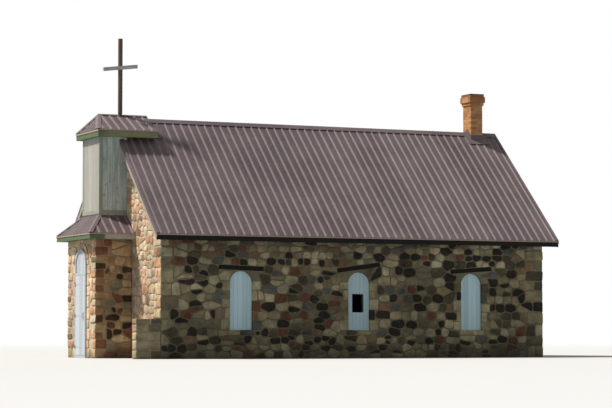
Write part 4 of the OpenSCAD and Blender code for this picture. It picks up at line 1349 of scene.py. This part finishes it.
class CHAPEL_OT_stonework(bpy.types.Operator):
    """Lay corner blocks, arch stones and fieldstones on every outside wall"""
    bl_idname = "chapel.stonework"
    bl_label = "Stonework"
    corner_joint = 0.009
    wear = 0.011
    lively_share = 0.35

    def execute(self, context):
        settings = context.scene.chapel_stone
        rng = random.Random(settings.seed)
        faces = wall_faces()
        nave, porch = Shape(), Shape()
        self.corner_blocks(nave, porch, faces, settings, rng)
        self.wing_blocks(nave, settings, rng)
        self.entrance_blocks(porch, faces["porch_front"], settings, rng)
        self.window_blocks(nave, faces, settings, rng)
        self.lintel_room(faces)
        values = {"Unevenness": settings.unevenness, "Seed": float(settings.seed),
                  "Bed": settings.bed, "Rounding": settings.rounding}
        self.set_stones(nave, "nave_blocks", "hewn", "corner_stone", values)
        self.set_stones(porch, "porch_blocks", "hewn", "porch_corner_stone", values)
        for name, members, material in (
                ("right_fieldstones", ["right"], "fieldstone"),
                ("left_fieldstones", ["left"], "fieldstone"),
                ("rear_fieldstones", ["rear"], "fieldstone"),
                ("front_fieldstones", ["front", "porch_front"], "front_fieldstone"),
                ("porch_fieldstones", ["porch_right", "porch_left"], "porch_fieldstone")):
            shape = Shape()
            for member in members:
                lay_face(shape, faces[member], settings, rng)
            self.set_stones(shape, name, "rubble", material, values)
        return {"FINISHED"}

    def set_stones(self, shape, name, tree_name, material, values):
        """Turns blocks or cells into one finished piece of stonework."""
        piece = grow(shape.build(name), tree_name, material, values)
        keep_above_ground(piece)
        settle(piece, "rubble_stone")

    def quiet(self, rng):
        """A tone for a dressed block, mostly out of the plainer stone colours."""
        if rng.random() < self.lively_share:
            return rng.random()
        return rng.choice(QUIET_TONES) + rng.uniform(0.0, 0.02)

    def worn(self, corners, rng):
        """Shifts the corners of a block a little, as roughly squared stone is."""
        return [[[tuple(c + rng.uniform(-self.wear, self.wear) for c in point) for point in row]
                 for row in rank] for rank in corners]

    def corner_blocks(self, nave, porch_shape, faces, settings, rng):
        """Columns of blocks up the outside corners; those of the porch are smaller."""
        right, left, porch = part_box("right_wall"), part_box("left_wall"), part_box("porch_front_head")
        covered, porch_size = 0.03, 0.72
        wall_top, porch_top = right[1].z - covered, porch[1].z - covered
        above_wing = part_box("wing_wall")[1].z + 0.01
        for blocks, x, y, low, high, side_face, end_face, size in (
                (nave, right[0].x, right[0].y, above_wing, wall_top, "right", "front", 1.0),
                (nave, right[0].x, left[1].y, 0.0, wall_top, "left", "front", 1.0),
                (nave, right[1].x, right[0].y, 0.0, wall_top, "right", "rear", 1.0),
                (nave, right[1].x, left[1].y, 0.0, wall_top, "left", "rear", 1.0),
                (porch_shape, *porch[0].xy, 0.0, porch_top, "porch_right", "porch_front", porch_size),
                (porch_shape, porch[0].x, porch[1].y, 0.0, porch_top, "porch_left", "porch_front",
                 porch_size)):
            self.corner_column(blocks, faces[side_face], faces[end_face], settings, rng, (x, y),
                               (low, high), size)

    def corner_column(self, blocks, side_face, end_face, settings, rng, corner, span, size):
        """Blocks up one corner, long and short by turns."""
        x, y = corner
        sx, sy = -math.copysign(1, x), -math.copysign(1, y)
        gap = settings.joint_low / 2 + self.corner_joint
        for k, (low, high) in enumerate(rows(*span, settings.quoin_height * size, rng)):
            long = settings.quoin_long * size * rng.uniform(0.7, 1.25)
            short = settings.quoin_short * size * rng.uniform(0.8, 1.3)
            run_x, run_y = (long, short) if k % 2 else (short, long)
            proud = settings.quoin_proud * rng.uniform(0.7, 1.3)
            far_x, far_y = x + sx * run_x, y + sy * run_y
            block = box_corners((x - sx * proud, y - sy * proud, low + gap), (far_x, far_y, high - gap))
            add_block(blocks, self.worn(block, rng), self.quiet(rng))
            side_face.block_out((x, y, low), (far_x, y, high))
            end_face.block_out((x, y, low), (x, far_y, high))

    def wing_blocks(self, blocks, settings, rng):
        """The low wing wall, built of blocks as thick as the wall, with a coping."""
        low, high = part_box("wing_wall")
        coping, course, block_length = 0.13, 0.21, 0.33
        proud = settings.quoin_proud
        courses = rows(0.0, high.z - coping, course, rng)
        for z0, z1 in courses + [(courses[-1][1], high.z + 0.012)]:
            for k, (x0, x1) in enumerate(rows(low.x, high.x, block_length, rng, 0.3)):
                gap = settings.joint_low / 2 + rng.uniform(0.002, 0.008)
                end = -gap if k else proud
                out = proud * rng.uniform(0.5, 1.3)
                add_block(blocks, box_corners((x0 - end, low.y - out, z0 + gap),
                                              (x1 - gap, high.y + out, z1 - gap)), self.quiet(rng))

    def jamb(self, blocks, face, kind, place, span, depth, settings, rng):
        """Blocks up one side of an opening; place holds the opening's edge and the blocks' own end."""
        opening, shown = place
        side = math.copysign(1, opening - shown if kind["overlaps"] else shown - opening)
        joint = settings.joint_low / 2 + kind["joint"]

        def corner(along, into, z):
            return (along, into, z) if face.out.y else (into, along, z)

        for k, (low, high) in enumerate(rows(*span, settings.quoin_height * kind["height"], rng)):
            far = opening + side * kind["runs"][k % 2] * rng.uniform(1 - kind["uneven"], 1 + kind["uneven"])
            add_block(blocks, box_corners(corner(shown, depth[0], low + joint),
                                          corner(far, depth[1], high - joint)), self.quiet(rng))
            face.block_out(corner(opening, 0, low), corner(far, 0, high))

    def entrance_blocks(self, blocks, face, settings, rng):
        """Jamb blocks and a ring of wedge stones round the entrance."""
        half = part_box("door_frame")[1].y
        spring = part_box("porch_front_head")[0].z
        wall_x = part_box("porch_front_right")[0].x
        front, back = wall_x - settings.quoin_proud * 0.9, wall_x + 0.05
        shown = half + 0.001
        for side in (-1, 1):
            self.jamb(blocks, face, ENTRANCE_JAMB, (side * half, side * shown), (0.0, spring),
                      (front, back), settings, rng)
        wedges, ring = 11, settings.arch_ring
        for k in range(wedges):
            turns = [math.pi * (k + t) / wedges for t in (0.97, 0.03)]
            outer = half + ring * rng.uniform(0.85, 1.1)
            add_block(blocks, [[[(x, r * math.cos(t), spring + r * math.sin(t)) for t in turns]
                                for r in (outer, shown)] for x in (front, back)], self.quiet(rng))
        face.obstacles.append(arch_outline(2 * half, spring, spring + half, ring + 0.012))
        face.block_out((0, -half, 0), (0, half, spring))

    def window_blocks(self, blocks, faces, settings, rng):
        """Jamb and sill blocks of the side windows."""
        lap = 0.008
        for end, name in enumerate(("right", "left")):
            face = faces[name]
            out = face.out.y * settings.quoin_proud * 0.7
            depth = (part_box(name + "_wall")[end].y + out,
                     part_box(name + "_window_boards")[end].y + face.out.y * 0.004)
            for middle, width, sill, crown in window_places():
                span = (sill, crown - width / 2 + 0.06)
                for side in (-1, 1):
                    opening = middle + side * width / 2
                    self.jamb(blocks, face, WINDOW_JAMB, (opening, opening - side * lap), span, depth,
                              settings, rng)
                self.sill_block(blocks, face, (middle, width, sill), depth, rng)
                face.obstacles.append(
                    arch_outline(width, sill - 0.01, crown, 0.006, middle * face.along.x))

    def sill_block(self, blocks, face, window, depth, rng):
        middle, width, sill = window
        rise, gap = 0.12, 0.006
        reach = width / 2 + 0.05
        for a0, a1 in pairwise((-reach, rng.uniform(-0.08, 0.08), reach)):
            add_block(blocks, box_corners((middle + a0 + gap, depth[0], sill - rise),
                                          (middle + a1 - gap, depth[1], sill + 0.008)), self.quiet(rng))
        face.block_out((middle - reach, 0, sill - rise - 0.01), (middle + reach, 0, sill))

    def lintel_room(self, faces):
        """Keeps fieldstones off the timber lintels."""
        for points in loose_solids("window_lintels"):
            face = faces["right" if points[:, 1].mean() < 0 else "left"]
            (x0, low0, high0), (x1, low1, high1) = (
                (end[:, 0].mean(), end[:, 2].min(), end[:, 2].max()) for end in (points[:4], points[-4:]))
            outline = [(x0, low0), (x1, low1), (x1, high1), (x0, high0)]
            if face.along.x < 0:
                outline = [(-a, b) for a, b in reversed(outline)]
            face.obstacles.append(outline)


class CHAPEL_OT_floors(bpy.types.Operator):
    """Lay the flagstones of the nave and the porch"""
    bl_idname = "chapel.floors"
    bl_label = "Floors"

    def execute(self, context):
        settings = context.scene.chapel_stone
        rng = random.Random(settings.seed + 1)
        slab, sunk, doorway = settings.slab, 0.004, 0.55
        stone = {"course": (slab * 0.75, slab * 1.1), "length": (slab * 0.8, slab * 1.6),
                 "joint": (0.006, 0.014), "least": 0.09, "smallest": 0.01}
        nave, porch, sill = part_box("nave_floor"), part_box("porch_right_wall"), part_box("door_frame")
        half_porch = -porch[1].y
        shape = Shape()
        for outline in (rectangle(nave[0].x, nave[1].x, nave[0].y, nave[1].y),
                        rectangle(porch[0].x, porch[1].x, -half_porch, half_porch),
                        rectangle(porch[1].x, nave[0].x, -doorway, doorway),
                        rectangle(sill[1].x, porch[0].x, sill[0].y, sill[1].y)):
            for cell in lay_cells(rng, outline, [], stone):
                points = [Vector((a, b, nave[1].z - sunk)) for a, b in cell]
                shape.add(points, [tuple(range(len(points)))], rng.random(), settings.slab_proud)
        settle(grow(shape.build("flagstones"), "rubble", "flagstone", {
            "Bed": sunk, "Rounding": 0.02, "Unevenness": 0.001, "Seed": 2.0}), "flagstone")
        return {"FINISHED"}


def board_outline(left, right, low, window):
    """A board between two uprights, cut to the arch of its window."""
    middle, width, _, crown = window
    radius, spring, steps = width / 2 - 0.002, crown - width / 2, 5
    outline = [(left, low), (right, low)]
    for k in range(steps + 1):
        a = right + (left - right) * k / steps
        inner = radius * radius - min(radius, abs(a - middle)) ** 2
        outline.append((a, spring + math.sqrt(max(inner, 0.0))))
    return outline


class CHAPEL_OT_window_boards(bpy.types.Operator):
    """Face the boarded windows and the panel over the door with separate boards and a bead"""
    bl_idname = "chapel.window_boards"
    bl_label = "Window boards"
    margin = 0.003
    edge_width = 0.0015
    bead_proud = 0.012
    middle_zone = 0.5
    seed = 5

    def execute(self, context):
        settings = context.scene.chapel_timber
        rng = random.Random(self.seed)
        hole = self.hole()
        for end, name in enumerate(("right", "left")):
            wall_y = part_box(name + "_window_boards")[end].y
            shape = Shape()

            def place(a, b, depth, wall_y=wall_y, out=2 * end - 1):
                return a, wall_y + out * depth, b

            for window in window_places():
                has_hole = name == "right" and abs(window[0]) < self.middle_zone
                self.face_window(shape, window, place, settings, rng, hole if has_hole else None)
            piece = eased(shape.build(name + "_window_facing"), self.edge_width)
            settle(piece, "white_board", "window_boards")
        self.face_transom(settings, rng)
        return {"FINISHED"}

    def hole(self):
        """Left, right, bottom and top of the hole in the middle right window."""
        reach, lowest, highest = 0.25, 0.1, 1.1
        for points in loose_solids("right_window_boards"):
            if abs(points[:, 0].mean()) < self.middle_zone:
                rise = points[:, 2] - points[:, 2].min()
                inner = points[(np.abs(points[:, 0]) < reach) & (rise > lowest) & (rise < highest)]
                return inner[:, 0].min(), inner[:, 0].max(), inner[:, 2].min(), inner[:, 2].max()
        raise RuntimeError("the middle window of the right side has no hole")

    def face_window(self, shape, window, place, settings, rng, hole):
        """Five boards, split and cut short round a hole, and the bead."""
        middle, width, sill, _ = window
        low, uneven, torn, slack = sill + self.margin, 0.002, 0.012, 1e-4
        edges = [middle + c * (width - 2 * self.margin) for c in (-0.5, -0.3, -0.1, 0.1, 0.3, 0.5)]
        if hole:
            third = (hole[1] - hole[0]) / 3
            edges = [edges[0], hole[0], hole[0] + third, hole[1] - third, hole[1], edges[-1]]
        for left, right in pairwise(edges):
            a0, a1 = left + settings.groove / 2, right - settings.groove / 2
            proud = settings.board_proud + rng.uniform(-uneven, uneven)
            tone = rng.random()
            outlines = [board_outline(a0, a1, low, window)]
            if hole and left >= hole[0] - slack and right <= hole[1] + slack:
                ragged = hole[2] + rng.uniform(-torn, 0.0)
                outlines = [[(a0, low), (a1, low), (a1, ragged), (a0, hole[2])],
                            board_outline(a0, a1, hole[3] + rng.uniform(0.0, 0.01), window)]
            for outline in outlines:
                shape.add(*prism(outline, 0.0, proud, place), tone)
        self.bead(shape, window, place, settings.bead, settings.board_proud + self.bead_proud)

    def bead(self, shape, window, place, wide, proud):
        """A bead round the opening, as a row of short prisms that share their ends."""
        middle, width, sill, crown = window
        outer, inner = (
            arch_outline(width - 2 * self.margin - 2 * by, sill + max(by, self.margin),
                         crown - max(by, self.margin), middle=middle) for by in (0.0, wide))
        points = [place(a, b, d) for ring in (outer, inner) for d in (0.0, proud) for a, b in ring]
        count = len(outer)
        rings = [0, count, 3 * count, 2 * count, 0]
        faces = [face for low, high in pairwise(rings) for face in band(low, high, count)]
        shape.add(points, outward(points, faces), 0.9)

    def face_transom(self, settings, rng):
        """Boards in the arch over the door."""
        low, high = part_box("door_transom")
        width, boards = high.y - low.y, 6
        shape = Shape()
        for left, right in pairwise(width * (k / boards - 0.5) for k in range(boards + 1)):
            outline = board_outline(left + settings.groove / 2, right - settings.groove / 2,
                                    low.z + self.margin, (0.0, width, low.z, high.z))
            shape.add(*prism(outline, 0.0, settings.board_proud, lambda a, b, d: (low.x - d, -a, b)),
                      rng.random())
        settle(eased(shape.build("transom_facing"), self.edge_width), "white_board", "door_boards")


class CHAPEL_OT_lintels(bpy.types.Operator):
    """Make the rough timber lintels"""
    bl_idname = "chapel.lintels"
    bl_label = "Lintels"

    def execute(self, context):
        settings, seed = context.scene.chapel_timber, 9
        rng = random.Random(seed)
        shape = Shape()
        for points in loose_solids("window_lintels"):
            self.add_beam(shape, self.corners(points[:4]), self.corners(points[-4:]), rng)
        settle(grow(shape.build("hewn_lintels"), "hewn", "lintel_wood", {
            "Unevenness": settings.hewn, "Seed": 3.0}), "weathered_timber", replaces=["window_lintels"])
        return {"FINISHED"}

    def corners(self, points):
        """The four corners of one end of a beam, in order round it."""
        near, far = (sorted(pair, key=lambda p: p[2])
                     for pair in np.split(points[np.argsort(points[:, 1])], 2))
        return [Vector(p) for p in (near[0], far[0], far[1], near[1])]

    def add_beam(self, shape, start, end, rng, steps=14):
        """A beam as rings of eight points along its length, each ring a little off."""
        chamfer, thinnest, rings = 0.12, 0.95, []
        for s in range(steps + 1):
            square = [a.lerp(b, s / steps) for a, b in zip(start, end)]
            centre = sum(square, Vector()) / 4
            rings.append([centre + (p.lerp(q, t) - centre) * rng.uniform(thinnest, 1.0)
                          for p, q in edges_of(square) for t in (chamfer, 1 - chamfer)])
        shape.add(*tube(rings), rng.random())


class CHAPEL_OT_roof_metal(bpy.types.Operator):
    """Fasten the ribbed sheets with screws and trim their gable edges"""
    bl_idname = "chapel.roof_metal"
    bl_label = "Roof metal"

    def execute(self, context):
        settings = context.scene.chapel_roof
        lines = roof_lines()
        self.add_screws(settings, lines, -1, "right")
        self.add_screws(settings, lines, 1, "left")
        self.add_trims(settings, lines)
        self.add_patches(settings, lines)
        return {"FINISHED"}

    def add_screws(self, settings, lines, side, name):
        low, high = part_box(name + "_roof_sheet")
        slope = math.atan(lines["fall"])
        inset, lift = 0.22, 0.001
        middle_y = (low.y + high.y) / 2
        piece = grow(stand_in(name + "_roof_screws"), "screws", "folded_metal", {
            "Columns": int((high.x - low.x - 2 * RIB_FOOT) / settings.rib_pitch) + 1,
            "Rows": settings.screw_rows, "Rib pitch": settings.rib_pitch,
            "Run": (high.y - low.y) / math.cos(slope) - 2 * inset,
            "Slope": -side * slope, "Radius": settings.screw_radius,
            "Place": ((low.x + high.x) / 2, middle_y,
                      lines["ribs"] - abs(middle_y) * lines["fall"] + lift)})
        settle(piece, "flashing_metal")

    def add_trims(self, settings, lines):
        """Folded metal over the four sloping edges: a flange on the ribs and a leg down the board."""
        low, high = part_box("right_roof_sheet")
        behind_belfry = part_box("belfry_trim")[1].y + 0.03
        leg, fold = settings.trim_leg / math.cos(math.atan(lines["fall"])), settings.trim_thickness
        profile = [(fold, 0.002), (fold, -leg), (0.0, -leg), (0.0, 0.0),
                   (-settings.trim_flange, 0.0), (-settings.trim_flange, 0.002)]
        shape = Shape()
        for (x, out, stop), side in product(((low.x, -1, behind_belfry), (high.x, 1, 0.0003)), (-1, 1)):
            shape.add(*tube([[(x + out * a, side * y, lines["caps"] - y * lines["fall"] + b)
                              for a, b in profile] for y in (stop, -low.y)]))
        settle(shape.build("gable_edge_trims"), "ribbed_metal", "folded_metal")

    def add_patches(self, settings, lines):
        """A flat sheet on the ribs on each side behind the belfry roof, where it meets the ridge."""
        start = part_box("belfry_roof_sheets")[1].x
        run, inner, outer, lift = 0.26, 0.17, 0.62, 0.0006
        shape = Shape()
        for side in (-1, 1):
            shape.add(*prism(rectangle(start, start + run, inner, outer), lift,
                             lift + settings.trim_thickness, lambda x, y, up: (
                                 x, side * y, lines["ribs"] - y * lines["fall"] + up)))
        settle(shape.build("ridge_patches"), "flashing_metal", "folded_metal")


class CHAPEL_OT_belfry(bpy.types.Operator):
    """Board the three sides of the belfry"""
    bl_idname = "chapel.belfry"
    bl_label = "Belfry"

    def execute(self, context):
        settings = context.scene.chapel_timber
        front, right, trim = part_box("belfry_front"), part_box("belfry_right"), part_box("belfry_trim")
        trim_width, tucked, thick = 0.10, 0.02, settings.board_proud
        low = trim[0].z + trim_width
        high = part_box("belfry_eave_box")[0].z + 0.015
        between = front[1].y - front[0].y - 2 * (trim_width - tucked)
        depth = right[1].x - front[0].x - (trim_width - tucked)
        for k, (side, start, turn, width, finish, slot) in enumerate((
                ("front", (front[0].x, between / 2), -90, between, "cream_boards", "cream_board"),
                ("right", (right[1].x - depth, right[0].y), 0, depth, "grey_green_boards", "green_board"),
                ("left", (right[1].x, -right[0].y), 180, depth, "grey_green_boards", "green_board"))):
            piece = grow(stand_in(f"belfry_{side}_boards"), "boarding", finish, {
                "Width": width, "Height": high - low, "Thickness": thick,
                "Board": settings.board_width, "Groove": settings.groove, "Seed": 11 + k})
            turned = Matrix.Translation((*start, low)) @ Matrix.Rotation(math.radians(turn), 4, "Z")
            piece.data.transform(turned @ Matrix.Translation((0, -thick, 0)))
            settle(piece, slot)
        return {"FINISHED"}


class CHAPEL_OT_chimney(bpy.types.Operator):
    """Lay the bricks of the chimney"""
    bl_idname = "chapel.chimney"
    bl_label = "Chimney"

    def execute(self, context):
        settings = context.scene.chapel_brick
        low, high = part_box("chimney_shaft")
        count = round((high.z - low.z) / settings.course)
        course = (high.z - low.z) / count
        places, sizes = [], []
        for k in range(count):
            self.ring(places, sizes, low, high, low.z + k * course, course, k % 2, settings)
        for k, (low, high) in enumerate(self.cap_courses(), count):
            self.ring(places, sizes, low, high, low.z, high.z - low.z, k % 2, settings)
        mesh = bpy.data.meshes.new("chimney_bricks")
        mesh.from_pydata(places, [], [])
        layer = mesh.attributes.new("size", "FLOAT_VECTOR", "POINT")
        layer.data.foreach_set("vector", [c for size in sizes for c in size])
        piece = placed("chimney_bricks", mesh)
        settle(grow(piece, "bricks", "brick", {"Jitter": 0.0015, "Seed": 21}), "chimney_brick")
        return {"FINISHED"}

    def cap_courses(self):
        """Corners of each course of the cap, from the steps of its own outline."""
        points = loose_solids("chimney_cap")[0]
        levels = sorted({round(z, 4) for z in points[:, 2]})
        middle = (points[:, :2].min(0) + points[:, :2].max(0)) / 2
        courses = []
        for low, high in pairwise(levels):
            at_low, at_high = (points[np.abs(points[:, 2] - level) < 1e-3] for level in (low, high))
            half_x, half_y = (
                max(set(np.round(np.abs(at_low[:, axis] - middle[axis]), 4))
                    & set(np.round(np.abs(at_high[:, axis] - middle[axis]), 4))) for axis in (0, 1))
            courses.append((Vector((middle[0] - half_x, middle[1] - half_y, low)),
                            Vector((middle[0] + half_x, middle[1] + half_y, high))))
        return courses

    def ring(self, places, sizes, low, high, base, course, turned, settings):
        """One course: bricks on each side, with the corner brick on one side and then on the other."""
        proud, joint, width = settings.proud, settings.joint, settings.brick_width
        flashing_top, fall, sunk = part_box("chimney_flashing")[1].z, roof_lines()["fall"], 0.0002
        for axis, across in ((0, 1), (1, 0)):
            reaches_corner = bool(turned) == (axis == 0)
            inset = -proud if reaches_corner else width - proud + joint
            start, end = low[axis] + inset, high[axis] - inset
            bricks = max(1, round((end - start + joint) / (settings.brick_length + joint)))
            pitch = (end - start + joint) / bricks
            for k, (face, out) in product(range(bricks), ((low[across], -1), (high[across], 1))):
                a0 = start + k * pitch
                a1 = a0 + pitch - joint
                nearest_y = abs(face) if axis == 0 else max(0.0, abs((a0 + a1) / 2) - pitch / 2)
                shown = sunk if base < flashing_top - nearest_y * fall else proud
                if base < flashing_top + low.y * fall:
                    a0, a1 = max(a0, low[axis] - sunk), min(a1, high[axis] + sunk)
                middle, size = [0.0, 0.0, base + course / 2], [width, width, course - joint]
                middle[axis], middle[across] = (a0 + a1) / 2, face + out * (shown - width / 2)
                size[axis] = a1 - a0
                places.append(tuple(middle))
                sizes.append(tuple(size))


LEDGE_HEIGHTS = (0.25, 1.05, 1.85)


class CHAPEL_OT_door(bpy.types.Operator):
    """Make the boarded door with its ledges"""
    bl_idname = "chapel.door"
    bl_label = "Door"

    def execute(self, context):
        settings = context.scene.chapel_timber
        low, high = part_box("front_door")
        thick = high.x - low.x
        piece = grow(stand_in("door_leaf"), "boarding", "door_boards", {
            "Width": high.y - low.y, "Height": high.z - low.z, "Thickness": thick,
            "Board": settings.door_board, "Groove": settings.groove * 0.8, "Seed": 31})
        piece.data.transform(Matrix.Translation((low.x, high.y, low.z))
                             @ Matrix.Rotation(math.radians(-90), 4, "Z"))
        settle(eased(piece, 0.003), "white_board", body=DOOR, replaces=["front_door"])
        tongues, margin = Shape(), 0.006
        tongues.add(*straight_box((low.x + thick * 0.4, low.y + margin, low.z + margin),
                                  (low.x + thick * 0.6, high.y - margin, high.z - margin)), 0.2)
        settle(tongues.build("door_tongues"), "white_board", "door_boards", body=DOOR)
        ledges, inset, half_height, ledge_thick, let_in = Shape(), 0.055, 0.06, 0.008, 0.002
        for z in LEDGE_HEIGHTS:
            ledges.add(*straight_box((high.x - let_in, low.y + inset, low.z + z - half_height),
                                     (high.x + ledge_thick, high.y - inset, low.z + z + half_height)), 0.6)
        settle(eased(ledges.build("door_ledges"), 0.002), "white_board", "door_boards", body=DOOR)
        return {"FINISHED"}


class CHAPEL_PT_panel(bpy.types.Panel):
    """Lists the steps and the settings"""
    bl_label = "Fieldstone chapel"
    bl_space_type = "VIEW_3D"
    bl_region_type = "UI"
    bl_category = "Chapel"

    def draw(self, context):
        for operator in OPERATORS:
            self.layout.operator(operator.bl_idname)
        for key, group in SETTINGS.items():
            box = self.layout.box()
            box.label(text=group.__doc__)
            for field in group.__annotations__:
                box.prop(getattr(context.scene, key), field)


OPERATORS = [CHAPEL_OT_stage, CHAPEL_OT_finishes, CHAPEL_OT_stonework, CHAPEL_OT_floors,
             CHAPEL_OT_window_boards, CHAPEL_OT_lintels, CHAPEL_OT_roof_metal, CHAPEL_OT_belfry,
             CHAPEL_OT_chimney, CHAPEL_OT_door]


def register():
    for key, group in SETTINGS.items():
        bpy.utils.register_class(group)
        setattr(bpy.types.Scene, key, PointerProperty(type=group))
    for cls in OPERATORS + [CHAPEL_PT_panel]:
        bpy.utils.register_class(cls)


def unregister():
    for cls in [CHAPEL_PT_panel] + OPERATORS[::-1]:
        bpy.utils.unregister_class(cls)
    for key, group in SETTINGS.items():
        delattr(bpy.types.Scene, key)
        bpy.utils.unregister_class(group)


def main():
    register()
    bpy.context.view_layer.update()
    for operator in OPERATORS:
        group, name = operator.bl_idname.split(".")
        getattr(getattr(bpy.ops, group), name)()


if __name__ == "__main__":
    main()
